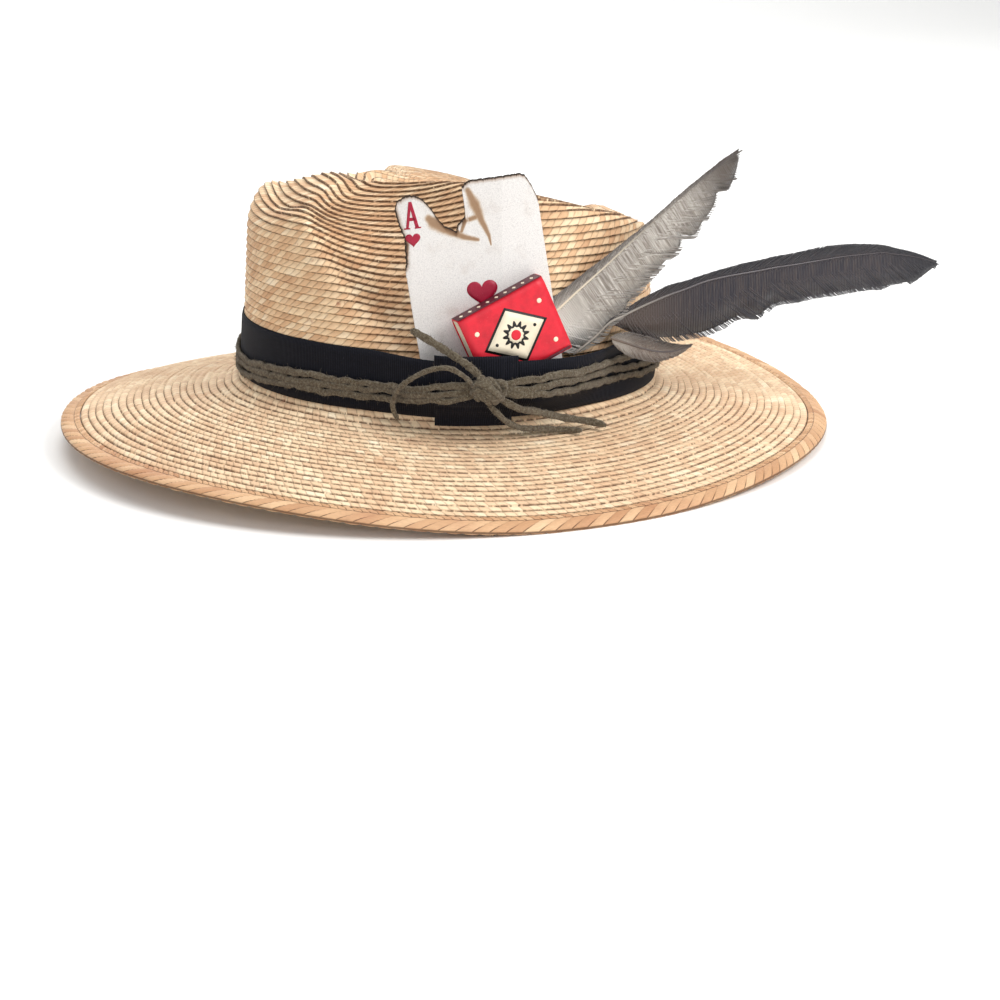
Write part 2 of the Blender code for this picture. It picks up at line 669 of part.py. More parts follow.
def matchbox_frame():
    """Middle of the matchbox, and its turn: it leans back with the wall and is rolled."""
    angle = angle_at(MATCHBOX_PLACE)
    height = foot_height(angle) + MATCHBOX_RISE
    middle = wall(angle, height, box_stand() + MATCHBOX_DEPTH / 2)
    turn = Matrix.Rotation(-MATCHBOX_LEAN, 4, "X") @ Matrix.Rotation(-MATCHBOX_ROLL, 4, "Y")
    return Vector(middle), turn


def box_mesh(name, size, hollow):
    """Box of a size in its own frame; a hollow box is an open sleeve along its length."""
    mesh = bpy.data.meshes.new(name)
    shape = bmesh.new()
    bmesh.ops.create_cube(shape, size=1.0, matrix=Matrix.Diagonal((*size, 1.0)))
    if hollow:
        ends = [face for face in shape.faces if abs(face.normal.x) > 0.9]
        bmesh.ops.delete(shape, geom=ends, context="FACES_ONLY")
    shape.to_mesh(mesh)
    shape.free()
    return mesh


def matchbox(collection, parent):
    """Sleeve of the matchbox and the closed tray in it."""
    middle, turn = matchbox_frame()
    red = principled("red sleeve", (0.72, 0.03, 0.05), 0.45)
    size = (MATCHBOX_LENGTH, MATCHBOX_DEPTH, MATCHBOX_HEIGHT)
    sleeve = add_object("matchbox_sleeve", box_mesh("matchbox_sleeve", size, True), red, collection, parent)
    solidify(sleeve, MATCHBOX_WALL).offset = -1.0
    card = principled("tray card", (0.80, 0.72, 0.58), 0.8)
    less = 2 * (MATCHBOX_WALL + GAP)
    inside = (MATCHBOX_LENGTH - 2 * TRAY_INSET, MATCHBOX_DEPTH - less, MATCHBOX_HEIGHT - less)
    tray = add_object("matchbox_tray", box_mesh("matchbox_tray", inside, False), card, collection, parent)
    for piece in (sleeve, tray):
        piece.matrix_basis = Matrix.Translation(middle) @ turn


def feather_body(name, root, turn, tilt, length, width, vane, colour, collection, parent):
    """Feather as one body: thin vanes on both sides of a thicker quill, with a notched outline.

    It lies in an upright plane through its root. The plane is turned from the hat's length, and the
    feather's own line is tilted up in it.
    """
    level = Vector((math.cos(turn), math.sin(turn), 0.0))
    front = Vector((math.sin(turn), -math.cos(turn), 0.0))
    along = level * math.cos(tilt) + Vector((0.0, 0.0, math.sin(tilt)))
    across = Vector((0.0, 0.0, math.cos(tilt))) - level * math.sin(tilt)
    sections = []
    for share, rise, above, below in vane:
        quill = QUILL / 2 * (1 - 0.75 * share)
        edge = VANE / 2 * (1 - 0.3 * share)
        shoulder = 1.4 * quill
        above_edge = max(above * width, 1.6 * quill)
        below_edge = max(below * width, 1.6 * quill)
        half = (
            (above_edge, 0.6 * edge), (shoulder, edge), (0.5 * quill, quill),
            (-0.5 * quill, quill), (-shoulder, edge), (-below_edge, 0.6 * edge),
        )
        outline = half + tuple((up, -out) for up, out in reversed(half))
        middle = root + along * (share * length) + across * (rise * width)
        sections.append([middle + across * up + front * out for up, out in outline])
    material = principled(name, colour, 0.6)
    return add_object(name, loft_mesh(name, np.array(sections), ring=False), material, collection, parent)


def grey_root():
    """Foot of the grey quill, between the crown and the card."""
    angle = angle_at(GREY_FEATHER_PLACE)
    height = foot_height(angle) + GREY_FEATHER_RISE
    return Vector(wall(angle, height, GAP + QUILL / 2))


def black_root():
    """Foot of the black quill, in front of the grey feather's plane."""
    grey = grey_root()
    behind = grey.y + (BLACK_FEATHER_PLACE - grey.x) * math.tan(GREY_FEATHER_TURN)
    height = foot_height(angle_at(BLACK_FEATHER_PLACE)) + BLACK_FEATHER_RISE
    return Vector((BLACK_FEATHER_PLACE, behind - QUILL - GAP, height))


def curl_root():
    """Foot of the downy curl, in front of the ribbon."""
    angle = angle_at(CURL_PLACE)
    return Vector(wall(angle, foot_height(angle) + CURL_RISE, CURL_STAND))


def feathers(collection, parent):
    """Two wing feathers behind the ribbon, and the downy curl at the foot of the black one."""
    feather_body(
        "feather_grey", grey_root(), GREY_FEATHER_TURN, GREY_FEATHER_TILT, GREY_FEATHER_LENGTH,
        GREY_FEATHER_WIDTH, GREY_VANE, (0.24, 0.21, 0.18), collection, parent,
    )
    feather_body(
        "feather_black", black_root(), BLACK_FEATHER_TURN, 0.0, BLACK_FEATHER_LENGTH,
        BLACK_FEATHER_WIDTH, BLACK_VANE, (0.035, 0.037, 0.045), collection, parent,
    )
    feather_body(
        "feather_curl", curl_root(), CURL_TURN, 0.0, CURL_LENGTH,
        CURL_WIDTH, CURL_VANE, (0.15, 0.13, 0.11), collection, parent,
    )


def centre_on_floor(collection, centre):
    """Move the whole hat so that the middle of its box is over the origin."""
    bpy.context.view_layer.update()
    graph = bpy.context.evaluated_depsgraph_get()
    corners = []
    for piece in collection.objects:
        if piece.type != "EMPTY":
            shown = piece.evaluated_get(graph)
            mesh = shown.to_mesh()
            corners.extend(shown.matrix_world @ vertex.co for vertex in mesh.vertices)
            shown.to_mesh_clear()
    corners = np.array(corners)
    middle = (corners.min(axis=0) + corners.max(axis=0)) / 2
    centre.location = (-middle[0], -middle[1], -corners[:, 2].min())


def main():
    """Clear the scene and model the hat."""
    for piece in list(bpy.data.objects):
        bpy.data.objects.remove(piece, do_unlink=True)
    collection = bpy.data.collections.new(HAT)
    bpy.context.scene.collection.children.link(collection)
    centre = bpy.data.objects.new("hat_centre", None)
    collection.objects.link(centre)
    straw_body(collection, centre)
    edge_plait(collection, centre)
    hat_band(collection, centre)
    ribbon_bow(collection, centre)
    lace_wraps(collection, centre)
    lace_knot(collection, centre)
    lace_tails(collection, centre)
    playing_card(collection, centre)
    matchbox(collection, centre)
    feathers(collection, centre)
    centre_on_floor(collection, centre)


if __name__ == "__main__":
    main()
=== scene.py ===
"""Looks of a palm-straw hat: sewn plait, ribbon, suede laces, feathers, a burned card and a matchbox.

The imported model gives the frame. Every visible piece here is a surface computed with numpy from the hat's
own named sizes, in metres. The hat's front points to -X, the keepsakes are on its -Y side, +Z is up.
"""
import math

import bpy
import numpy as np
from mathutils import Matrix, Vector


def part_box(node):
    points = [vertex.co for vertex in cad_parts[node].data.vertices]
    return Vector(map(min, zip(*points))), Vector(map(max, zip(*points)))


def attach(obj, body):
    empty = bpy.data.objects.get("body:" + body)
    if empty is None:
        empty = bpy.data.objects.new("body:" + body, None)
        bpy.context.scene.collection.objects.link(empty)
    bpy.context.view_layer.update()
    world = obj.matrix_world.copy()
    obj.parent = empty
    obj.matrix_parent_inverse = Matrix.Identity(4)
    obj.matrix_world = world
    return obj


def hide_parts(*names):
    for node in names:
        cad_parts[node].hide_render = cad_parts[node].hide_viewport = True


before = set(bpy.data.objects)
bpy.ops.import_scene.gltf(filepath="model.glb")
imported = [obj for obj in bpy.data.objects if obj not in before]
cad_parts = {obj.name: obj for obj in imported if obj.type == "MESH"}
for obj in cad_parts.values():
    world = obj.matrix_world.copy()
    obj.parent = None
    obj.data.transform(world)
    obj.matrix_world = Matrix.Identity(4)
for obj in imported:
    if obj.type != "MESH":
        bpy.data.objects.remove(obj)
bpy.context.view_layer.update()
BODY_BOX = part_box("straw_body")
# The hat's own middle lies off the middle of the whole box, which the feather lengthens
MIDDLE = np.array([(BODY_BOX[0][0] + BODY_BOX[1][0]) / 2, 0.0, 0.0])

bl_info = {
    "name": "Keepsake straw hat",
    "version": (1, 0, 0),
    "blender": (4, 5, 0),
    "location": "View3D > Sidebar > Hat",
    "description": "Sews, trims and dresses a palm-straw hat around its packed frame",
    "category": "Add Mesh",
}

TURN = 2 * math.pi

# Lamps: name, place, width and power; they point at one place over the floor
LIGHTS = (
    ("key", (0.95, -1.10, 1.35), 1.0, 25.0), ("front", (-1.3, -1.6, 1.0), 1.8, 7.0),
    ("top", (-0.1, 0.2, 1.9), 1.6, 14.0), ("back", (0.3, 1.6, 1.2), 1.6, 10.0),
)
LIGHT_TARGET = (0.0, 0.0, 0.06)
AIR_COLOUR = (0.96, 0.98, 1.0, 1.0)
AIR_STRENGTH = 0.56
# Camera: place, turns about the upright axis, down and about the view, and lens in millimetres
CAMERA_PLACE = (-0.34360, -0.88829, 0.28339)
CAMERA_TURNS = (-0.37484, 0.33005, 0.00679)
CAMERA_LENS = 72.26

# Clearance between touching pieces, straw thickness
GAP = 0.0004
STRAW = 0.0022

# Crown
HEAD_LENGTH = 0.2021
HEAD_WIDTH = 0.1694
CROWN_HEIGHT = 0.1010
CROWN_TAPER = 0.045
CORNER_MIDDLE = 0.0092
CORNER_CHANGE = 0.0044
FOOT_HEIGHT = 0.0279
FOOT_TILT = 0.0041
FAR_SIDE_DROP = 0.0112
# Line of the crown's top: share of the half length, share of the crown's height
TOP_LINE = (
    (-0.91, 0.865), (-0.75, 0.952), (-0.56, 0.995), (-0.35, 1.000), (-0.14, 0.990),
    (0.27, 0.913), (0.53, 0.846), (0.72, 0.779), (0.89, 0.702),
)
CREASE_DEPTH = 0.0233
CREASE_FRONT_WIDTH = 0.0136
CREASE_BACK_WIDTH = 0.0427
PINCH_PLACE = -0.0505
PINCH_SLOPE = math.radians(47.0)
PINCH_NOSE = 0.0097
PINCH_RADIUS_NEAR = 0.0374
PINCH_RADIUS_FAR = 0.0233
PINCH_SOFTNESS = 0.0039
PINCH_DROP = 0.0019

# Brim
BRIM_LENGTH = 0.3769
BRIM_WIDTH = 0.3346
EDGE_HEIGHT = 0.0060
EDGE_PLAIT_WIDTH = 0.0105
EDGE_PLAIT_THICKNESS = 0.0033
REST_SINK = 0.0012
EDGE_RELIEF = 0.0007
FLOOR_GAP = 0.00003
# Waves of the edge: order, height of the cosine, height of the sine
EDGE_WAVES = ((1, -0.0014, 0.0000), (2, 0.0048, 0.0037), (3, -0.0020, 0.0015), (4, -0.0025, 0.0000))
FOOT_SHARE = 0.26
FOOT_REACH = 0.07
STRAIGHT_SHARE = 0.42
EDGE_POWER = 2.6

# Ribbon, bow and the push of what is tucked under them
RIBBON = 0.0010
RIBBON_WIDTH = 0.0282
# Width of one rib, the ribbon's edge and unit of paint across it, and the ribs on the bow
RIB = 0.0009
RIB_PAINT = 0.0012
BOW_RIBS = 36.0
BOW = 0.0014
BOW_START = math.radians(249.0)
BOW_END = math.radians(267.5)
BOW_OVERHANG = 0.0029
PUSH_ROOM = 0.0028
PUSH_FRONT = (-0.0680, -0.0277)
PUSH_BACK = (0.0155, 0.0729)
PUSH_BACK_LOW = (-0.0078, 0.0437)
PUSH_FOOT_SHARE = 0.35

# Laces
KNOT_ANGLE = math.radians(260.2)
KNOT_HEIGHT = 0.0171
LACE_KNOT = (0.0165, 0.0084, 0.0113)
NAP_FIBRES = 6400
# Angle around the hat in degrees, then each strand's height above the ribbon's lower edge
LACE_ROWS = (
    (265.8, 0.0196, 0.0170, 0.0144), (281.0, 0.0214, 0.0175, 0.0133), (300.0, 0.0202, 0.0155, 0.0108),
    (318.0, 0.0171, 0.0127, 0.0084), (336.0, 0.0142, 0.0107, 0.0072), (360.0, 0.0128, 0.0097, 0.0064),
    (405.0, 0.0122, 0.0091, 0.0058), (450.0, 0.0119, 0.0085, 0.0052), (510.0, 0.0115, 0.0080, 0.0046),
    (538.0, 0.0103, 0.0068, 0.0035), (572.0, 0.0130, 0.0100, 0.0070), (594.0, 0.0137, 0.0108, 0.0079),
    (606.0, 0.0161, 0.0133, 0.0105), (614.6, 0.0187, 0.0158, 0.0130),
)
# Where the strands run in under the knot
LACE_KNOT_START = ((262.2, 0.0188, 0.0172, 0.0156),)
LACE_KNOT_END = ((618.4, 0.0188, 0.0171, 0.0154),)
# Loose ends: node, width of the lace, then the route's points in the hat's own frame
LACE_TAILS = (
    ("lace_tail_up", 0.0035, (
        (-0.0244, -0.1046, 0.0524), (-0.0296, -0.1038, 0.0575), (-0.0363, -0.1001, 0.0625),
        (-0.0439, -0.0947, 0.0677), (-0.0505, -0.0889, 0.0717),
    )),
    ("lace_tail_loop", 0.0023, (
        (-0.0281, -0.1049, 0.0496), (-0.0340, -0.1061, 0.0549), (-0.0396, -0.1047, 0.0577),
        (-0.0464, -0.1012, 0.0565), (-0.0526, -0.0956, 0.0519), (-0.0569, -0.0900, 0.0460),
        (-0.0580, -0.0853, 0.0389), (-0.0566, -0.0831, 0.0336), (-0.0546, -0.0821, 0.0301),
    )),
    ("lace_tail_long", 0.0027, (
        (-0.0207, -0.1044, 0.0397), (-0.0163, -0.1047, 0.0350), (-0.0115, -0.1034, 0.0305),
        (-0.0033, -0.0999, 0.0257), (0.0092, -0.0978, 0.0235), (0.0195, -0.0970, 0.0218),
        (0.0266, -0.0993, 0.0212),
    )),
    ("lace_tail_short", 0.0033, (
        (-0.0148, -0.1048, 0.0413), (-0.0062, -0.1046, 0.0362), (0.0019, -0.1022, 0.0336),
        (0.0097, -0.0992, 0.0306), (0.0195, -0.0966, 0.0271), (0.0321, -0.0948, 0.0237),
        (0.0392, -0.0975, 0.0218),
    )),
)

# Playing card, burned along its top
CARD_WIDTH = 0.0650
CARD_LENGTH = 0.0889
CARD = 0.0005
CARD_ANGLE = math.radians(261.6)
CARD_ROLL = math.radians(6.0)
CARD_TUCK = 0.0120
CARD_TOUCH = -0.0120
CARD_BEND = 0.110
# Burned top: share of the width from the left, share of the length that is left
CARD_TOP = (
    (0.000, 0.900), (0.030, 0.938), (0.070, 0.956), (0.132, 0.963), (0.197, 0.941), (0.242, 0.894),
    (0.272, 0.838), (0.308, 0.792), (0.376, 0.758), (0.410, 0.799), (0.465, 0.824), (0.478, 0.876),
    (0.485, 0.972), (0.540, 0.997), (0.660, 1.000), (0.895, 1.000), (0.930, 0.985), (0.965, 0.935),
    (1.000, 0.855),
)
# Burned left side: share of the length, share of the width that is gone
CARD_LEFT = (
    (0.00, 0.025), (0.45, 0.022), (0.60, 0.022), (0.68, 0.040), (0.76, 0.046), (0.84, 0.018),
    (0.93, 0.004), (1.00, 0.0),
)
# How far the card's foot has slipped backwards under the ribbon
CARD_SLIP = 0.0048
# Scorch marks on the card's face: places across and up in millimetres, then the mark's reach there
SCORCH_MARKS = (
    ((15.8, 74.4, 2.4), (18.0, 72.2, 3.8), (23.7, 68.5, 3.0), (30.2, 64.7, 1.7), (36.6, 62.6, 1.1)),
    ((34.3, 84.4, 1.8), (36.7, 78.2, 3.2), (39.1, 70.5, 2.0), (41.5, 63.9, 1.1), (42.0, 59.6, 0.4)),
    ((29.6, 67.1, 0.9), (31.8, 71.5, 1.3), (36.3, 72.4, 1.6)),
    ((2.2, 69.5, 1.4), (3.8, 64.0, 2.8), (3.0, 57.5, 1.9), (2.2, 52.0, 0.6)),
)

# Matchbox
MATCHBOX_LENGTH = 0.0432
MATCHBOX_HEIGHT = 0.0359
MATCHBOX_DEPTH = 0.0089
MATCHBOX_WALL = 0.0005
MATCHBOX_ROLL = math.radians(23.3)
MATCHBOX_LEAN = math.radians(4.5)
MATCHBOX_PLACE = -0.0041
MATCHBOX_RISE = 0.0387
# Height of the print, and how far it starts inside; the latter is also the step from layer to layer
PRINT_HEIGHT = 0.00006
PRINT_SINK = 0.00005

# Feathers: length and width of the vane, place along the hat, rise above the crown's foot, turn, tilt
QUILL = 0.0014
BARB_HALF_WIDTH = 0.00026
BARB_HALF_THICKNESS = 0.00007
# Length of shaft that counts as one barb of paint
BARB_PAINT = 0.0009
FEATHERS = {
    "grey": (0.1442, 0.0249, -0.0039, 0.0256, math.radians(4.2), math.radians(36.1)),
    "black": (0.2011, 0.0249, 0.0282, 0.0256, math.radians(4.6), 0.0),
    "curl": (0.0515, 0.0115, 0.0389, 0.0340, math.radians(17.5), 0.0),
}
CURL_STAND = 0.0143
# Splits in the vanes: side of the shaft, share of the length, opening
GREY_SPLITS = ((-1.0, 0.46, 0.0020), (-1.0, 0.640, 0.0016), (-1.0, 0.83, 0.0022), (1.0, 0.55, 0.0008))
BLACK_SPLITS = ((-1.0, 0.40, 0.0012), (-1.0, 0.82, 0.0022), (-1.0, 0.92, 0.0016), (1.0, 0.6, 0.0008))
# Share of the length, then the quill's rise and the vane above and below it as shares of the width
GREY_VANE = (
    (0.000, 0.00, 0.03, 0.10), (0.080, 0.03, 0.03, 0.35), (0.135, 0.05, 0.06, 0.62),
    (0.170, 0.06, 0.14, 0.80), (0.200, 0.06, 0.20, 0.92), (0.240, 0.06, 0.24, 1.00),
    (0.290, 0.07, 0.21, 1.04), (0.335, 0.07, 0.19, 0.98), (0.380, 0.07, 0.18, 1.00),
    (0.420, 0.07, 0.15, 0.90), (0.480, 0.08, 0.12, 0.86), (0.540, 0.09, 0.09, 0.83),
    (0.600, 0.09, 0.07, 0.80), (0.665, 0.09, 0.06, 0.76), (0.690, 0.09, 0.06, 0.62),
    (0.705, 0.09, 0.06, 0.74), (0.770, 0.09, 0.06, 0.71), (0.840, 0.08, 0.05, 0.56),
    (0.870, 0.07, 0.05, 0.40), (0.900, 0.06, 0.05, 0.50), (0.955, 0.04, 0.04, 0.32),
    (1.000, 0.00, 0.01, 0.02),
)
BLACK_VANE = (
    (0.000, 0.00, 0.03, 0.03), (0.058, 0.31, 0.03, 0.03), (0.090, 0.52, 0.05, 0.05),
    (0.125, 0.62, 0.10, 0.24), (0.160, 0.72, 0.15, 0.48), (0.200, 0.82, 0.18, 0.70),
    (0.240, 0.91, 0.20, 0.84), (0.290, 1.00, 0.17, 0.93), (0.340, 1.10, 0.15, 1.00),
    (0.380, 1.14, 0.16, 0.96), (0.430, 1.17, 0.19, 0.84), (0.490, 1.20, 0.21, 0.89),
    (0.520, 1.22, 0.22, 0.76), (0.580, 1.24, 0.23, 0.73), (0.650, 1.27, 0.26, 0.72),
    (0.720, 1.30, 0.24, 0.73), (0.790, 1.30, 0.19, 0.71), (0.840, 1.29, 0.14, 0.71),
    (0.870, 1.24, 0.11, 0.62), (0.910, 1.18, 0.09, 0.56), (0.950, 1.10, 0.06, 0.40),
    (0.975, 1.04, 0.04, 0.22), (1.000, 0.97, 0.01, 0.02),
)
CURL_VANE = (
    (0.00, 0.00, 0.06, 0.10), (0.02, -0.04, 0.10, 0.18), (0.05, -0.09, 0.18, 0.28),
    (0.12, -0.22, 0.34, 0.42), (0.25, -0.45, 0.46, 0.54), (0.40, -0.72, 0.50, 0.52),
    (0.55, -0.94, 0.46, 0.46), (0.72, -1.08, 0.36, 0.30), (0.87, -1.08, 0.20, 0.18),
    (1.00, -0.99, 0.03, 0.03),
)


def linear(red, green, blue):
    """Linear colour of a paint given in ordinary screen values from 0 to 255."""
    values = np.array([red, green, blue]) / 255.0
    values = np.where(values <= 0.04045, values / 12.92, ((values + 0.055) / 1.055) ** 2.4)
    return tuple(float(value) for value in values)


def ease(value):
    """Rise smoothly from 0 to 1 as the value goes from 0 to 1."""
    value = np.clip(value, 0.0, 1.0)
    return value * value * (3.0 - 2.0 * value)


def soft_excess(value, softness):
    """The part of a value above zero, with a rounded corner at zero."""
    return softness * np.logaddexp(0.0, value / softness)


def unit(vectors):
    """Vectors of length 1 along the last axis."""
    return vectors / np.maximum(np.linalg.norm(vectors, axis=-1, keepdims=True), 1e-12)


def paired(*values):
    """Arrays stretched to one shape and joined along a new last axis."""
    return np.stack(np.broadcast_arrays(*values), axis=-1)


def signed_power(value, power):
    """Power of a value's size with the value's sign: rounds or flattens a section."""
    return np.sign(value) * np.abs(value) ** power


def smooth_through(table, share, column):
    """Read a column of a table at any share with a smooth curve (Catmull-Rom) through its rows."""
    rows = np.array(table)
    at = rows[:, 0]
    values = rows[:, column]
    slopes = np.gradient(values, at)
    index = np.clip(np.searchsorted(at, share, side="right") - 1, 0, len(at) - 2)
    after = index + 1
    width = at[after] - at[index]
    part = np.clip((share - at[index]) / width, 0.0, 1.0)
    rest = 1 - part
    start = (1 + 2 * part) * rest ** 2 * values[index] + part * rest ** 2 * width * slopes[index]
    end = part ** 2 * (3 - 2 * part) * values[after] + part ** 2 * (part - 1) * width * slopes[after]
    return start + end


def drift(share, seed, orders=7, first=3.0):
    """Smooth wander between about -1 and 1: a sum of sines with fixed chance phases, one line per row."""
    chance = np.random.default_rng(seed)
    order = first + np.arange(orders) * 1.7 * first
    phase = chance.random(orders) * TURN
    size = 1.0 / np.sqrt(1.0 + np.arange(orders))
    wave = np.sin(np.asarray(share)[..., None] * np.round(order) * TURN + phase) * size
    return wave.sum(axis=-1) / size.sum() * 1.6


def foot_height(angle):
    """Height of the crown's foot: the hat tips a little from front to back."""
    return FOOT_HEIGHT - FOOT_TILT * np.cos(angle)


def edge_height(angle):
    """Height of the middle of the brim's edge: a few waves, laid flat on the floor below."""
    height = EDGE_HEIGHT
    for order, cosine, sine in EDGE_WAVES:
        height = height + cosine * np.cos(order * angle) + sine * np.sin(order * angle)
    lowest = EDGE_PLAIT_THICKNESS / 2 - REST_SINK
    return lowest + soft_excess(height - lowest, REST_SINK / 4)


def top_height(x):
    """Height of the crown's top line at a place along the hat."""
    line = np.array(TOP_LINE)
    curve = np.polyfit(line[:, 0], line[:, 1], 4)
    share = np.clip(x / (HEAD_LENGTH / 2), line[0, 0] - 0.05, line[-1, 0] + 0.05)
    return FOOT_HEIGHT + CROWN_HEIGHT * np.polyval(curve, share)


def corner_radius(angle):
    """Radius of the crown's upper corner: soft in front, crisp behind."""
    return CORNER_MIDDLE - CORNER_CHANGE * np.cos(angle)


def wall(angle, height, stand=0.0):
    """Point on the crown's wall at an angle and a height, standing off it by a distance."""
    top = top_height(HEAD_LENGTH / 2 * (1 - CROWN_TAPER) * np.cos(angle)) - corner_radius(angle)
    share = (height - foot_height(angle)) / (top - foot_height(angle))
    scale = 1 - CROWN_TAPER * share
    x = (HEAD_LENGTH / 2 * scale + stand) * np.cos(angle)
    y = (HEAD_WIDTH / 2 * scale + stand) * np.sin(angle)
    return paired(x, y, height)


def angle_at(x):
    """Angle on the near side where the wall's foot has this place along the hat."""
    return TURN - np.arccos(np.clip(np.asarray(x) / (HEAD_LENGTH / 2), -1.0, 1.0))


def crown_surface(angle, rise):
    """Crown over a grid of angles and rises: 0 to 1 is the wall, 1 to 2 the corner, 2 to 3 the top.

    An ellipse that narrows upwards, closed by its top line, then pushed in by a teardrop crease and by
    a slanting plane on each side of the front for the pinches.
    """
    straight = np.clip(rise, 0.0, 1.0)
    turn = np.clip(rise - 1.0, 0.0, 1.0) * math.pi / 2
    inward = 1 - np.clip(rise - 2.0, 0.0, 1.0)
    radius = corner_radius(angle)
    mean_radius = (HEAD_LENGTH + HEAD_WIDTH) / 4
    scale = (1 - CROWN_TAPER * straight - radius / mean_radius * (1 - np.cos(turn))) * inward
    x = HEAD_LENGTH / 2 * scale * np.cos(angle)
    y = HEAD_WIDTH / 2 * scale * np.sin(angle)
    top = top_height(HEAD_LENGTH / 2 * (1 - CROWN_TAPER) * np.cos(angle) * inward)
    share_x = x / HEAD_LENGTH
    far = ease((y / HEAD_WIDTH + 0.029) / 0.287) * ease((share_x + 0.288) / 0.240)
    top = top - FAR_SIDE_DROP * far * (1 + 0.35 * ease((share_x - 0.144) / 0.192))
    foot = foot_height(angle)
    z = foot + (top - radius - foot) * straight + radius * np.sin(turn)
    along = x / (HEAD_LENGTH / 2)
    width = CREASE_FRONT_WIDTH + (CREASE_BACK_WIDTH - CREASE_FRONT_WIDTH) * ease(along + 0.566)
    width = width * (1 - 0.55 * ease((along - 0.411) / 0.457))
    shape = np.exp(-np.abs(y / width) ** 3) * ease((along + 0.603) / 0.411) * ease((0.785 - along) / 0.365)
    near_top = ease(((z - top_height(x)) / CROWN_HEIGHT + 0.192) / 0.173)
    z = z - CREASE_DEPTH * shape * near_top
    ridge = top_height(PINCH_PLACE) - PINCH_DROP
    for side, pinch_radius in ((-1, PINCH_RADIUS_NEAR), (1, PINCH_RADIUS_FAR)):
        out = side * math.sin(PINCH_SLOPE)
        up = math.cos(PINCH_SLOPE)
        bulge = (x - PINCH_PLACE) ** 2 / (2 * pinch_radius)
        above = out * (y - side * PINCH_NOSE) + up * (z - ridge) - bulge
        push = soft_excess(above, PINCH_SOFTNESS)
        y = y - push * out
        z = z - push * up
    return np.stack([x, y, z], axis=-1)


def brim_surface(share, angle):
    """Brim's upper side: share 0 at the crown's foot, 1 at the edge; it dips, then flattens."""
    x = (HEAD_LENGTH / 2 * (1 - share) + BRIM_LENGTH / 2 * share) * np.cos(angle)
    y = (HEAD_WIDTH / 2 * (1 - share) + BRIM_WIDTH / 2 * share) * np.sin(angle)
    curve = STRAIGHT_SHARE * share + (1 - STRAIGHT_SHARE) * np.maximum(share, 0.0) ** EDGE_POWER
    fall = FOOT_SHARE * (1 - np.exp(-share / FOOT_REACH)) + (1 - FOOT_SHARE) * curve
    z = foot_height(angle) + (edge_height(angle) - foot_height(angle)) * fall
    return paired(x, y, z)


def sewn_share():
    """Share of the brim where the sewn rows end and the edge plait begins."""
    return 1 - EDGE_PLAIT_WIDTH / ((BRIM_WIDTH - HEAD_WIDTH) / 2)


def box_stand():
    """Distance from the crown's wall to the matchbox's back: the quill and the card lie between them."""
    return QUILL + CARD + 3 * GAP + MATCHBOX_HEIGHT / 4 * math.sin(MATCHBOX_LEAN)


def ribbon_push(angle, share):
    """How far the ribbon is pushed off the wall by what is tucked under it; share 0 is its lower edge."""
    x = HEAD_LENGTH / 2 * np.cos(angle)
    upper = ease(share / 0.45)
    back_start = PUSH_BACK_LOW[0] + (PUSH_BACK[0] - PUSH_BACK_LOW[0]) * share
    back_end = PUSH_BACK_LOW[1] + (PUSH_BACK[1] - PUSH_BACK_LOW[1]) * share
    front = ease((x - PUSH_FRONT[0]) / (PUSH_FRONT[1] - PUSH_FRONT[0]))
    back = 1 - ease((x - back_start) / (back_end - back_start))
    strength = PUSH_FOOT_SHARE + (1 - PUSH_FOOT_SHARE) * upper
    push = (box_stand() + MATCHBOX_DEPTH + PUSH_ROOM) * strength * front * back
    return np.where(np.sin(angle) < 0, push, 0.0)


def on_ribbon(angle, height, stand):
    """Point that stands off the ribbon's inner face; height is measured from the ribbon's lower edge."""
    share = np.clip(height / RIBBON_WIDTH, 0.0, 1.0)
    return wall(angle, foot_height(angle) + height, GAP + ribbon_push(angle, share) + stand)


def card_point(across, up, stand=0.0):
    """Point on the card's back: across from its middle and up from its lower edge, in metres.

    The card lies along the wall, rolled a little, and bends away from it behind the place it touches.
    """
    side = across * math.cos(CARD_ROLL) - up * math.sin(CARD_ROLL)
    height = up * math.cos(CARD_ROLL) + across * math.sin(CARD_ROLL)
    angle = CARD_ANGLE + side / (HEAD_LENGTH / 2 * (1 - CROWN_TAPER / 2))
    level = foot_height(CARD_ANGLE) + RIBBON_WIDTH - CARD_TUCK + height
    lift = np.minimum(QUILL + GAP, (side - CARD_TOUCH) ** 2 / (2 * CARD_BEND))
    return wall(angle, level, GAP + lift + stand)


def quads(grid, tail=False):
    """Four corners of every cell of a grid, in turn; with a tail the last axis belongs to a corner."""
    low, high = slice(None, -1), slice(1, None)
    rest = (slice(None),) if tail else ()
    turns = ((low, low), (high, low), (high, high), (low, high))
    return np.stack([grid[(..., *turn, *rest)] for turn in turns], axis=-2 if tail else -1)


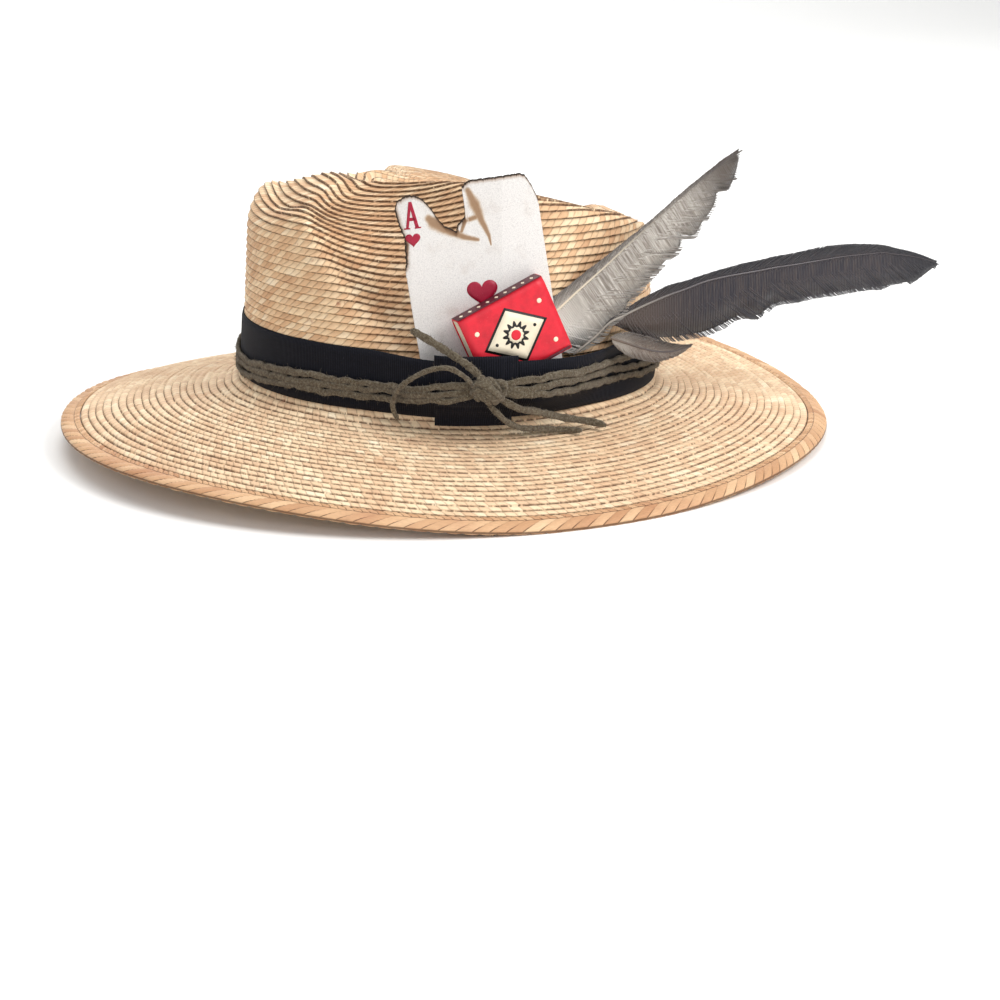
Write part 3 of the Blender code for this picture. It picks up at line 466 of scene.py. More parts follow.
class Skin:
    """Collects grids of points into one mesh: shared points, faces with their own paint coordinates."""

    def __init__(self):
        self.points = []
        self.corners = []
        self.paint = []
        self.sizes = []
        self.count = 0

    def add_points(self, points):
        """Store points and give back their numbers in the same layout."""
        flat = np.asarray(points, dtype=float).reshape(-1, 3)
        numbers = np.arange(self.count, self.count + len(flat)).reshape(np.shape(points)[:-1])
        self.points.append(flat)
        self.count += len(flat)
        return numbers

    def add_faces(self, numbers, paint):
        """Store faces: numbers is faces by corners, paint is faces by corners by 2."""
        numbers = numbers.reshape(-1, numbers.shape[-1])
        self.corners.append(numbers.ravel())
        self.paint.append(np.asarray(paint, dtype=float).reshape(-1, 2))
        self.sizes.append(np.full(len(numbers), numbers.shape[-1]))

    def grid(self, points, paint, around=False, closed=False, flip=False):
        """Quads over a grid; around joins its last column to the first, closed its last row to the first.

        The paint grid has one more column or row where the grid is joined to itself.
        """
        numbers = self.add_points(points)
        if around:
            numbers = np.concatenate([numbers, numbers[:1]], axis=0)
        if closed:
            numbers = np.concatenate([numbers, numbers[:, :1]], axis=1)
        order = -1 if flip else 1
        self.add_faces(quads(numbers)[..., ::order], quads(paint, tail=True)[..., ::order, :])

    def lofts(self, sections, paint):
        """Closed bodies through rings: sections is bodies by rings by ring points by 3.

        Each body's faces are turned outwards by the sign of its volume, and its ends are closed by fans.
        """
        numbers = self.add_points(sections)
        ends = self.add_points(sections[:, [0, -1]].mean(axis=2))
        looped = np.concatenate([numbers, numbers[:, :, :1]], axis=2)
        first = paired(ends[:, :1], looped[:, 0, :-1], looped[:, 0, 1:])
        last = paired(ends[:, 1:], looped[:, -1, 1:], looped[:, -1, :-1])
        first_marks = np.stack([paint[:, 0, :-1], paint[:, 0, :-1], paint[:, 0, 1:]], axis=-2)
        last_marks = np.stack([paint[:, -1, :-1], paint[:, -1, 1:], paint[:, -1, :-1]], axis=-2)
        near = sections - sections.mean(axis=(1, 2), keepdims=True)
        wrapped = quads(np.concatenate([near, near[:, :, :1]], axis=2), tail=True)
        a, b, c, d = (wrapped[..., corner, :] for corner in range(4))
        swept = (np.cross(a, b) * c).sum(-1) + (np.cross(a, c) * d).sum(-1)
        outward = swept.reshape(len(sections), -1).sum(axis=1) > 0
        parts = ((quads(looped), quads(paint, tail=True)), (first, first_marks), (last, last_marks))
        for faces, marks in parts:
            for keep, order in ((outward, 1), (~outward, -1)):
                if keep.any():
                    self.add_faces(faces[keep][..., ::order], marks[keep][..., ::order, :])

    def fan(self, ring, tip, paint, tip_paint, flip=False):
        """Close a ring of points with triangles to one tip."""
        centre = self.add_points(np.asarray(tip)[None])[0]
        following = np.roll(ring, -1)
        faces = np.stack([ring, following, np.full_like(ring, centre)], axis=-1)
        marks = np.stack([paint[:-1], paint[1:], np.broadcast_to(tip_paint, paint[1:].shape)], axis=-2)
        order = -1 if flip else 1
        self.add_faces(faces[..., ::order], marks[..., ::order, :])

    def build(self, name, material, slot, along=None):
        """Make the mesh and its object, moved from the hat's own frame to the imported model's."""
        points = np.concatenate(self.points) + MIDDLE
        if not np.isfinite(points).all():
            raise ValueError(f"{name} has points without a place")
        corners = np.concatenate(self.corners)
        sizes = np.concatenate(self.sizes)
        mesh = bpy.data.meshes.new(name)
        mesh.vertices.add(len(points))
        mesh.vertices.foreach_set("co", points.ravel())
        mesh.loops.add(len(corners))
        mesh.loops.foreach_set("vertex_index", corners.astype(np.int32))
        mesh.polygons.add(len(sizes))
        mesh.polygons.foreach_set("loop_start", (np.cumsum(sizes) - sizes).astype(np.int32))
        mesh.update(calc_edges=True)
        paint = mesh.uv_layers.new(name="UVMap")
        paint.data.foreach_set("uv", np.concatenate(self.paint).ravel())
        if along is not None:
            mesh.attributes.new("along", "FLOAT", "POINT").data.foreach_set("value", along.ravel())
        mesh.validate()
        mesh.shade_smooth()
        mesh.materials.append(material)
        piece = bpy.data.objects.new(name, mesh)
        bpy.context.scene.collection.objects.link(piece)
        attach(piece, "root")
        return piece


class Graph:
    """Adds nodes to one node tree and links them; a value may be a number, a colour or a socket."""

    def __init__(self, tree):
        self.tree = tree

    def put(self, socket, value):
        """Link a socket, or set its own value."""
        if isinstance(value, bpy.types.NodeSocket):
            self.tree.links.new(value, socket)
        elif isinstance(value, tuple) and len(value) == 3 and socket.type == "RGBA":
            socket.default_value = (*value, 1.0)
        else:
            socket.default_value = value

    def node(self, kind, inputs=None, **settings):
        """Add a node with its settings and its inputs by name or number."""
        made = self.tree.nodes.new(kind)
        for name, value in settings.items():
            setattr(made, name, value)
        for name, value in (inputs or {}).items():
            self.put(made.inputs[name], value)
        return made

    def math(self, operation, first, second=None, clamp=False):
        """Arithmetic on one or two values."""
        values = {0: first} if second is None else {0: first, 1: second}
        return self.node("ShaderNodeMath", values, operation=operation, use_clamp=clamp).outputs[0]

    def plus(self, first, second):
        """Sum of two values."""
        return self.math("ADD", first, second)

    def minus(self, first, second):
        """First value less the second."""
        return self.math("SUBTRACT", first, second)

    def times(self, first, second):
        """Product of two values."""
        return self.math("MULTIPLY", first, second)

    def mix(self, factor, first, second, blend="MIX"):
        """Blend two colours."""
        made = self.node("ShaderNodeMix", data_type="RGBA", blend_type=blend)
        self.put(made.inputs[0], factor)
        self.put(made.inputs[6], first)
        self.put(made.inputs[7], second)
        return made.outputs[2]

    def shaded(self, colour, shade):
        """Colour darkened by a value from 0 to 1."""
        return self.mix(1.0, colour, self.vector(shade, shade, shade), "MULTIPLY")

    def step(self, value, low, high, out_low=0.0, out_high=1.0):
        """Smooth step of a value from one range to another."""
        inputs = {"Value": value, "From Min": low, "From Max": high, "To Min": out_low, "To Max": out_high}
        return self.node("ShaderNodeMapRange", inputs, interpolation_type="SMOOTHSTEP").outputs[0]

    def ramp(self, value, *stops):
        """Colour along a value, through stops of place and colour."""
        made = self.node("ShaderNodeValToRGB", {0: value})
        band = made.color_ramp
        while len(band.elements) < len(stops):
            band.elements.new(0.5)
        for element, (place, colour) in zip(band.elements, stops):
            element.position = place
            element.color = (*colour, 1.0)
        return made.outputs[0]

    def noise(self, vector, scale, detail=2.0, roughness=0.5, distortion=0.0):
        """Noise value between 0 and 1."""
        inputs = {"Vector": vector, "Scale": scale, "Detail": detail, "Roughness": roughness}
        inputs["Distortion"] = distortion
        return self.node("ShaderNodeTexNoise", inputs).outputs[0]

    def vector(self, x, y, z=0.0):
        """Vector from its parts."""
        return self.node("ShaderNodeCombineXYZ", {0: x, 1: y, 2: z}).outputs[0]

    def parts(self, vector):
        """Parts of a vector."""
        return self.node("ShaderNodeSeparateXYZ", {0: vector}).outputs

    def chance(self, x, y):
        """Chance value between 0 and 1 for a pair of whole numbers."""
        made = self.node("ShaderNodeTexWhiteNoise", {"Vector": self.vector(x, y)}, noise_dimensions="2D")
        return made.outputs["Value"]


def shader_group(name, vector, values, outputs):
    """Start a named shader group: one vector input, then single values in and out."""
    tree = bpy.data.node_groups.new(name, "ShaderNodeTree")
    tree.interface.new_socket(vector, in_out="INPUT", socket_type="NodeSocketVector")
    for label in values:
        tree.interface.new_socket(label, in_out="INPUT", socket_type="NodeSocketFloat")
    for label in outputs:
        tree.interface.new_socket(label, in_out="OUTPUT", socket_type="NodeSocketFloat")
    graph = Graph(tree)
    start = tree.nodes.new("NodeGroupInput")
    end = tree.nodes.new("NodeGroupOutput")
    return graph, start.outputs, end.inputs


def use_group(graph, name, **inputs):
    """Put a shader group into a material and give back its outputs."""
    if name not in bpy.data.node_groups:
        GROUP_MAKERS[name]()
    made = graph.node("ShaderNodeGroup", node_tree=bpy.data.node_groups[name])
    for label, value in inputs.items():
        graph.put(made.inputs[label.replace("_", " ")], value)
    return made.outputs


def make_plait_group():
    """Sewn straw rows from paint coordinates: x counts strand crossings, y counts rows upwards; Line and
    Strand mask painted shade.
    """
    graph, start, end = shader_group(
        "sewn rows", "Coordinates", ("Slant", "Line width", "Breaks"),
        ("Tone", "Drift", "Line", "Strand", "Fibre", "Height"),
    )
    x, y, _ = graph.parts(start["Coordinates"])
    row = graph.math("FLOOR", y)
    part = graph.minus(y, row)
    row_chance = graph.chance(row, 3.0)
    lean = graph.times(part, start["Slant"])
    wander = graph.minus(graph.noise(graph.vector(x, y), 0.6, 1.0), 0.5)
    shifted = graph.plus(graph.plus(x, lean), graph.times(row_chance, 7.0))
    place = graph.plus(shifted, graph.times(wander, 0.7))
    cell = graph.math("FLOOR", place)
    inside = graph.minus(place, cell)
    graph.put(end["Tone"], graph.chance(cell, row))
    slow = graph.vector(graph.times(x, 0.16), graph.times(row, 5.31))
    graph.put(end["Drift"], graph.noise(slow, 1.0, 3.0, 0.6))
    fine = graph.vector(graph.times(x, 1.7), graph.times(y, 1.7), 5.0)
    ragged = graph.noise(fine, 1.0, 3.0, 0.7)
    # Line: painted shade in the gap where a row overlaps the one below, fainter under the next row's edge,
    # broken into dashes
    centred = graph.minus(part, graph.times(graph.minus(ragged, 0.5), 0.30))
    wrapped = graph.math("PINGPONG", graph.plus(centred, 1.0), 1.0)
    edge = graph.minus(1.0, wrapped)
    low = graph.step(centred, start["Line width"], 0.0)
    high = graph.step(edge, 0.06, 0.0)
    gap_shade = graph.math("MAXIMUM", low, graph.times(high, 0.7))
    dash = graph.noise(graph.vector(graph.times(x, 1.9), graph.times(row, 3.7)), 1.0, 2.0, 0.6)
    broken = graph.step(dash, graph.times(start["Breaks"], 0.42),
                        graph.times(start["Breaks"], 0.62))
    graph.put(end["Line"], graph.math("MULTIPLY", gap_shade, broken, clamp=True))
    # Strand: painted shade in the grooves between the strands
    near_side = graph.math("MINIMUM", inside, graph.minus(1.0, inside))
    graph.put(end["Strand"], graph.step(near_side, 0.13, 0.0))
    fibre_place = graph.vector(graph.times(place, 9.0), graph.times(part, 1.2),
                               graph.times(row, 2.0))
    fibre = graph.noise(fibre_place, 1.0, 2.0, 0.6)
    graph.put(end["Fibre"], fibre)
    round_cell = graph.minus(1.0, graph.math("POWER", graph.minus(1.0, near_side), 8.0))
    relief = graph.plus(round_cell, graph.times(fibre, 0.30))
    graph.put(end["Height"], graph.minus(relief, graph.times(gap_shade, 1.1)))


def make_stain_group():
    """Soft age marks over the whole hat from its own place: wide tan clouds and small reddish freckles."""
    graph, start, end = shader_group("age marks", "Place", (), ("Clouds", "Freckles", "Grain"))
    clouds = graph.noise(start["Place"], 26.0, 3.0, 0.55, 0.4)
    graph.put(end["Clouds"], graph.step(clouds, 0.42, 0.70))
    freckles = graph.noise(start["Place"], 150.0, 3.0, 0.65)
    graph.put(end["Freckles"], graph.step(freckles, 0.60, 0.76))
    graph.put(end["Grain"], graph.noise(start["Place"], 900.0, 2.0, 0.7))


def make_nap_group():
    """Raised nap of brushed leather or worn cloth, from the piece's own place."""
    graph, start, end = shader_group("nap", "Place", ("Scale",), ("Tone", "Height"))
    coarse = graph.noise(start["Place"], start["Scale"], 4.0, 0.7, 0.6)
    fine = graph.noise(start["Place"], graph.times(start["Scale"], 5.0), 3.0, 0.75)
    graph.put(end["Tone"], graph.plus(graph.times(coarse, 0.6), graph.times(fine, 0.4)))
    graph.put(end["Height"], graph.plus(coarse, graph.times(fine, 0.9)))


def make_barb_group():
    """Feather barbs from paint coordinates: x counts barbs along the shaft, y is the reach from it."""
    graph, start, end = shader_group("feather barbs", "Coordinates", (), ("Streak", "Band", "Height"))
    x, y, _ = graph.parts(start["Coordinates"])
    streak = graph.noise(graph.vector(graph.times(x, 0.9), graph.times(y, 2.5)), 1.0, 3.0, 0.75)
    band = graph.noise(graph.vector(graph.times(x, 0.07), graph.times(y, 1.3), 4.0), 1.0, 3.0, 0.6)
    graph.put(end["Streak"], streak)
    graph.put(end["Band"], band)
    ridge = graph.math("SINE", graph.times(x, TURN))
    graph.put(end["Height"], graph.plus(ridge, graph.times(streak, 0.8)))


def finish(name, roughness, specular=0.3, sheen=0.0, sheen_roughness=0.5):
    """Start a material; gives its graph, shader, paint coordinates and the piece's own place."""
    material = bpy.data.materials.new(name)
    material.use_nodes = True
    graph = Graph(material.node_tree)
    shader = material.node_tree.nodes["Principled BSDF"]
    shader.inputs["Roughness"].default_value = roughness
    shader.inputs["Specular IOR Level"].default_value = specular
    shader.inputs["Sheen Weight"].default_value = sheen
    shader.inputs["Sheen Roughness"].default_value = sheen_roughness
    source = graph.node("ShaderNodeTexCoord")
    return material, graph, shader, source.outputs["UV"], source.outputs["Object"]


def add_bump(graph, shader, height, distance, strength=1.0):
    """Bump from a height value, with its distance in metres."""
    inputs = {"Height": height, "Distance": distance, "Strength": strength}
    graph.put(shader.inputs["Normal"], graph.node("ShaderNodeBump", inputs).outputs[0])


def straw_material(name, colours, pale, lines, slant, breaks, bump):
    """Sewn straw: strands in several tans, painted shade in broken lines between the rows and between the
    strands, age marks and dull shine.
    """
    material, graph, shader, paint, place = finish(name, 0.62, specular=0.25)
    rows = use_group(graph, "sewn rows", Coordinates=paint, Slant=slant, Line_width=lines, Breaks=breaks)
    marks = use_group(graph, "age marks", Place=place)
    tone = graph.plus(graph.times(rows["Tone"], 0.30), graph.times(rows["Drift"], 0.80))
    colour = graph.ramp(
        tone, (0.28, colours["straw_dark"]), (0.48, colours["straw"]),
        (0.66, colours["straw_pale"]), (0.86, colours["straw_white"]),
    )
    colour = graph.mix(pale, colour, colours["straw_white"])
    clouds = graph.times(marks["Clouds"], 0.35)
    colour = graph.mix(clouds, colour, colours["straw_dark"])
    freckles = graph.times(marks["Freckles"], graph.step(rows["Tone"], 0.45, 0.85))
    colour = graph.mix(graph.times(freckles, 0.75), colour, colours["straw_stain"])
    shade = graph.plus(graph.times(rows["Fibre"], 0.30), 0.84)
    colour = graph.shaded(colour, shade)
    # Painted shade: the gap colour in the grooves between strands and, strongly, in the gaps between rows
    colour = graph.mix(graph.times(rows["Strand"], 0.22), colour, colours["straw_gap"])
    colour = graph.mix(graph.times(rows["Line"], 0.95), colour, colours["straw_gap"])
    graph.put(shader.inputs["Base Color"], colour)
    roughness = graph.plus(graph.times(marks["Grain"], 0.25), 0.50)
    graph.put(shader.inputs["Roughness"], roughness)
    add_bump(graph, shader, rows["Height"], bump)
    return material


def edge_material(colours):
    """Edge plait: leaning cells, cream and tan in turn, and painted shade in the grooves between the cells
    and along the seams between the bands.
    """
    material, graph, shader, paint, place = finish("edge straw", 0.55, specular=0.3)
    marks = use_group(graph, "age marks", Place=place)
    x, y, _ = graph.parts(paint)
    inner_band = graph.minus(graph.math("GREATER_THAN", y, 1.0), graph.math("GREATER_THAN", y, 2.0))
    under = graph.math("GREATER_THAN", y, 2.0)
    slant = graph.plus(graph.times(inner_band, 2.4), graph.times(under, 1.0))
    slant = graph.minus(slant, 1.5)
    lean = graph.times(slant, graph.math("FRACT", y))
    x = graph.plus(graph.times(x, graph.plus(inner_band, 1.0)), lean)
    cell = graph.math("FLOOR", x)
    inside = graph.minus(x, cell)
    turn = graph.math("PINGPONG", cell, 1.0)
    chance = graph.chance(cell, graph.math("FLOOR", y))
    tone = graph.plus(graph.times(turn, 0.12), graph.times(chance, 0.42))
    colour = graph.ramp(
        tone, (0.02, colours["straw_dark"]), (0.40, colours["straw"]),
        (0.70, colours["straw_pale"]), (0.95, colours["straw_white"]),
    )
    fibre = graph.noise(graph.vector(graph.times(x, 3.0), graph.times(y, 14.0)), 1.0, 3.0, 0.6)
    shade = graph.plus(graph.times(fibre, 0.45), 0.72)
    colour = graph.shaded(colour, shade)
    colour = graph.mix(graph.times(marks["Clouds"], 0.3), colour, colours["straw_stain"])
    # Painted shade in the grooves between the cells, deeper low in each band, and along the seams between the
    # bands
    near = graph.math("MINIMUM", inside, graph.minus(1.0, inside))
    level = graph.math("FRACT", y)
    groove_shade = graph.times(graph.step(near, 0.08, 0.0), graph.step(level, 0.70, 0.20, 0.25, 1.0))
    seam = graph.math("MINIMUM", level, graph.minus(1.0, level))
    groove_shade = graph.math("MAXIMUM", groove_shade, graph.step(seam, 0.05, 0.0))
    colour = graph.mix(graph.times(groove_shade, 0.85), colour, colours["straw_gap"])
    graph.put(shader.inputs["Base Color"], colour)
    add_bump(graph, shader, graph.minus(fibre, groove_shade), 0.00025)
    return material


def ribbon_material(colours):
    """Black grosgrain: fine ribs across the ribbon with painted shade in their hollows, a dull sheen and a
    little lint.
    """
    material, graph, shader, paint, place = finish("black ribbon", 0.75, specular=0.12, sheen=0.03)
    nap = use_group(graph, "nap", Place=place, Scale=420.0)
    x, y, _ = graph.parts(paint)
    rib = graph.math("SINE", graph.times(y, TURN))
    thread = graph.math("SINE", graph.times(x, TURN))
    colour = graph.ramp(nap["Tone"], (0.35, colours["ribbon"]), (0.75, colours["ribbon_pale"]))
    # Painted shade: near-black in the hollows between the ribs
    colour = graph.mix(graph.step(rib, 0.2, -0.9), colour, (0.002, 0.002, 0.004))
    graph.put(shader.inputs["Base Color"], colour)
    height = graph.plus(rib, graph.times(thread, 0.25))
    add_bump(graph, shader, graph.plus(height, graph.times(nap["Height"], 0.4)), 0.00007)
    return material


def suede_material(colours):
    """Brushed suede: grey-brown with pale rubbed spots and a raised nap."""
    material, graph, shader, _, place = finish("suede", 0.95, specular=0.08, sheen=0.15, sheen_roughness=0.5)
    nap = use_group(graph, "nap", Place=place, Scale=1000.0)
    colour = graph.ramp(nap["Tone"], (0.36, colours["suede_dark"]), (0.50, colours["suede"]),
                        (0.68, colours["suede_pale"]))
    graph.put(shader.inputs["Base Color"], colour)
    add_bump(graph, shader, nap["Height"], 0.0005)
    return material


def card_material(colours):
    """Card paper: fine grey specks, and a burn whose paint x runs from 0 at the charred edge inwards."""
    material, graph, shader, paint, place = finish("card paper", 0.48, specular=0.4)
    x, y, _ = graph.parts(paint)
    specks = graph.noise(place, 2600.0, 2.0, 0.7)
    clouds = graph.noise(place, 90.0, 3.0, 0.6)
    colour = graph.ramp(specks, (0.30, colours["card_grey"]), (0.55, colours["card"]))
    colour = graph.mix(graph.step(clouds, 0.5, 0.8, 0.0, 0.2), colour, colours["card_brown"])
    ragged = graph.noise(place, 420.0, 4.0, 0.7)
    reach = graph.plus(x, graph.times(graph.minus(ragged, 0.5), 0.9))
    halo = graph.step(reach, 2.6, 0.3)
    colour = graph.mix(graph.times(halo, 0.75), colour, colours["card_brown"])
    smoke = graph.plus(y, graph.times(graph.minus(ragged, 0.5), 0.5))
    scorched = graph.ramp(smoke, (0.30, colours["scorch_pale"]), (0.95, colours["card_brown"]))
    colour = graph.mix(graph.step(smoke, 0.05, 0.95, 0.0, 0.9), colour, scorched)
    singed = graph.times(graph.step(reach, 3.4, 0.8), graph.step(smoke, 0.15, 0.60))
    colour = graph.mix(graph.times(singed, 0.8), colour, colours["scorch_dark"])
    char = graph.step(reach, 1.25, 0.35)
    colour = graph.mix(char, colour, colours["char"])
    graph.put(shader.inputs["Base Color"], colour)
    graph.put(shader.inputs["Roughness"], graph.plus(graph.times(char, 0.4), 0.46))
    add_bump(graph, shader, graph.plus(specks, graph.times(char, ragged)), 0.00006)
    return material


def print_material(name, colour, roughness=0.45, grain=0.12):
    """Printed paper or board: one ink with worn specks and a faint paper grain."""
    material, graph, shader, _, place = finish(name, roughness, specular=0.4)
    specks = graph.noise(place, 1900.0, 3.0, 0.7)
    clouds = graph.noise(place, 160.0, 3.0, 0.6)
    worn = tuple(value + (1.0 - value) * grain for value in colour)
    dark = tuple(value * (1.0 - 2.0 * grain) for value in colour)
    painted = graph.ramp(clouds, (0.30, dark), (0.55, colour))
    painted = graph.mix(graph.step(specks, 0.62, 0.80), painted, worn)
    graph.put(shader.inputs["Base Color"], painted)
    graph.put(shader.inputs["Roughness"], graph.plus(graph.times(specks, 0.2), roughness - 0.1))
    add_bump(graph, shader, specks, 0.00004)
    return material


def vane_material(name, roots, vane, dark, pale, tip_start, specular=0.25):
    """Feather vane: streaks along the barbs, a pale downy root, a dark tip and paler broken bands."""
    material, graph, shader, paint, _ = finish(name, 0.55, specular=specular, sheen=0.2)
    attribute = graph.node("ShaderNodeAttribute", attribute_name="along")
    along = attribute.outputs["Fac"]
    barbs = use_group(graph, "feather barbs", Coordinates=paint)
    colour = graph.ramp(barbs["Streak"], (0.18, dark), (0.44, vane), (0.74, pale))
    colour = graph.mix(graph.step(barbs["Band"], 0.52, 0.74, 0.0, 0.6), colour, dark)
    root = graph.plus(along, graph.times(graph.minus(barbs["Streak"], 0.5), 0.16))
    colour = graph.mix(graph.step(root, 0.34, 0.14), colour, roots)
    tip = graph.step(root, tip_start, tip_start + 0.22)
    colour = graph.mix(graph.times(tip, 0.85), colour, dark)
    _, y, _ = graph.parts(paint)
    outer = graph.step(graph.math("ABSOLUTE", y), 0.45, 1.0, 0.0, 0.45)
    colour = graph.mix(outer, colour, dark)
    upper = graph.step(y, 0.05, 0.3)
    colour = graph.mix(graph.times(upper, 0.55), colour, dark)
    graph.put(shader.inputs["Base Color"], colour)
    add_bump(graph, shader, barbs["Height"], 0.00008)
    return material


def shaft_material(name, first, last, fade):
    """Feather shaft: smooth horn, paler at the root, with faint lengthwise streaks."""
    material, graph, shader, paint, _ = finish(name, 0.32, specular=0.5)
    x, y, _ = graph.parts(paint)
    streak = graph.noise(graph.vector(graph.times(x, 2.0), graph.times(y, 9.0)), 1.0, 2.0)
    colour = graph.mix(graph.step(x, 0.10, fade), first, last)
    shade = graph.plus(graph.times(streak, 0.3), 0.83)
    graph.put(shader.inputs["Base Color"], graph.shaded(colour, shade))
    add_bump(graph, shader, streak, 0.00005)
    return material


GROUP_MAKERS = {
    "sewn rows": make_plait_group,
    "age marks": make_stain_group,
    "nap": make_nap_group,
    "feather barbs": make_barb_group,
}


def size_property(label, what, value, low, high):
    """A length that a user may change, in metres."""
    return bpy.props.FloatProperty(
        name=label, description=what, default=value, min=low, max=high, unit="LENGTH", precision=5,
    )


def paint_property(label, what, red, green, blue):
    """A colour that a user may change; the default is given in ordinary screen values."""
    return bpy.props.FloatVectorProperty(
        name=label, description=what, default=linear(red, green, blue), min=0.0, max=1.0,
        size=3, subtype="COLOR",
    )


class HatSizes(bpy.types.PropertyGroup):
    """Sizes of the hat's finer work."""

    crown_row: size_property("Crown row", "Height of one sewn row on the crown", 0.00345, 0.002, 0.006)
    brim_row: size_property("Brim row", "Width of one sewn row on the brim", 0.0033, 0.002, 0.006)
    strand: size_property("Strand", "Distance between two strand crossings in a row", 0.0042, 0.002, 0.010)
    row_relief: size_property("Row relief", "How far a row stands over the next one", 0.0009, 0.0, 0.002)
    edge_cell: size_property("Edge cell", "Length of one cell in the edge plait", 0.0068, 0.004, 0.012)
    lace_width: size_property("Lace width", "Width of a suede lace round the ribbon", 0.0032, 0.001, 0.005)
    lace_thickness: size_property("Lace thickness", "Thickness of a suede lace", 0.0018, 0.0008, 0.003)
    barb_gap: size_property("Barb spacing", "Distance between two barbs", 0.00042, 0.0002, 0.002)


class HatColours(bpy.types.PropertyGroup):
    """Colours of the hat's materials."""

    straw: paint_property("Straw", "Main tan of the sewn straw", 222, 180, 138)
    straw_pale: paint_property("Pale straw", "Cream strands", 241, 210, 170)
    straw_white: paint_property("White straw", "Bleached strands", 252, 234, 204)
    straw_dark: paint_property("Dark straw", "Darker tan strands", 198, 150, 110)
    straw_stain: paint_property("Straw stain", "Reddish age marks", 164, 98, 72)
    # Painted shade: colour of the gaps between rows, the grooves between strands and the edge plait's grooves
    straw_gap: paint_property("Row gaps", "Brown between the rows", 84, 54, 34)
    ribbon: paint_property("Ribbon", "Blue-black ribbon", 16, 17, 24)
    ribbon_pale: paint_property("Ribbon lint", "Worn ribs of the ribbon", 27, 28, 38)
    suede: paint_property("Suede", "Grey-brown laces", 100, 89, 72)
    suede_dark: paint_property("Dark suede", "Hollows of the laces", 56, 48, 38)
    suede_pale: paint_property("Pale suede", "Rubbed nap of the laces", 152, 143, 125)
    card: paint_property("Card", "Face of the playing card", 226, 222, 218)
    card_grey: paint_property("Card specks", "Fine grey specks of the card", 196, 192, 190)
    card_brown: paint_property("Scorch", "Scorched brown round the burn", 142, 104, 64)
    scorch_pale: paint_property("Pale scorch", "Rim of the scorched places", 184, 150, 104)
    scorch_dark: paint_property("Dark scorch", "Middle of the scorched places", 84, 52, 28)
    char: paint_property("Char", "Charred edge", 38, 28, 22)
    card_ink: paint_property("Card ink", "Crimson pips", 160, 20, 52)
    box_red: paint_property("Box red", "Matchbox sleeve", 218, 34, 52)
    box_dark: paint_property("Box stripe", "Dark stripe of the sleeve", 84, 26, 38)
    box_cream: paint_property("Box cream", "Cream print and tray", 240, 226, 200)
    ink: paint_property("Black ink", "Black print", 24, 20, 20)
    grey_vane: paint_property("Grey vane", "Main colour of the grey feather", 146, 138, 129)
    grey_dark: paint_property("Grey vane, dark", "Dark streaks and tip", 66, 56, 50)
    grey_pale: paint_property("Grey vane, pale", "Pale streaks and root", 222, 217, 210)
    black_vane: paint_property("Black vane", "Main colour of the black feather", 42, 39, 47)
    black_dark: paint_property("Black vane, dark", "Dark streaks and tip", 22, 22, 30)
    black_pale: paint_property("Black vane, pale", "Brown-grey streaks and root", 78, 67, 62)
    curl_vane: paint_property("Curl", "Main colour of the curled feather", 104, 91, 82)
    shaft_pale: paint_property("Pale shaft", "Horn of the shafts at the root", 232, 218, 196)
    shaft_dark: paint_property("Dark shaft", "Horn of the shafts at the tip", 84, 78, 80)
    floor: paint_property("Floor", "Studio floor and backdrop", 250, 249, 247)


def sizes():
    """The scene's size settings."""
    return bpy.context.scene.hat_sizes


def colours():
    """The scene's colours as plain tuples by name."""
    group = bpy.context.scene.hat_colours
    return {name: tuple(getattr(group, name)) for name in HatColours.__annotations__}


def around(columns):
    """Angles round the hat for a closed grid, as a column of values."""
    return np.linspace(0.0, TURN, columns, endpoint=False)[:, None]


def grid_normals(points, closed=True):
    """Unit normals of a grid: the cross product of its two directions."""
    if closed:
        sideways = np.roll(points, -1, axis=0) - np.roll(points, 1, axis=0)
    else:
        sideways = np.gradient(points, axis=0)
    return unit(np.cross(sideways, np.gradient(points, axis=1)))


def read_along(values, level, wanted):
    """Values of each column at the wanted levels, by straight steps between the column's own points."""
    reach = level.max() + 10.0
    shift = np.arange(len(values))[:, None] * reach
    at = np.clip(wanted, 0.0, level[:, -1:]) + shift
    flat = (level + shift).ravel()
    return np.stack([np.interp(at, flat, values[..., k].ravel()) for k in range(3)], axis=-1)


def ring_counts(points, spacing):
    """Whole number of strand crossings that fits each ring of points."""
    ring = np.linalg.norm(np.roll(points, -1, axis=0) - points, axis=-1).sum(axis=0)
    return np.maximum(np.round(ring / spacing), 3.0)


def add_rows(skin, numbers, counts, level):
    """Quads round the hat between rows of points; each row has its own count of strand crossings."""
    looped = np.concatenate([numbers, numbers[:1]], axis=0)
    turn = np.linspace(0.0, 1.0, len(looped))[:, None]
    left = turn[:-1] * counts[None, :-1]
    right = turn[1:] * counts[None, :-1]
    low = np.broadcast_to(level[None, :-1], left.shape)
    high = np.broadcast_to(level[None, 1:], left.shape)
    marks = np.stack([left, low, right, low, right, high, left, high], axis=-1)
    skin.add_faces(quads(looped), marks.reshape(*left.shape, 4, 2))


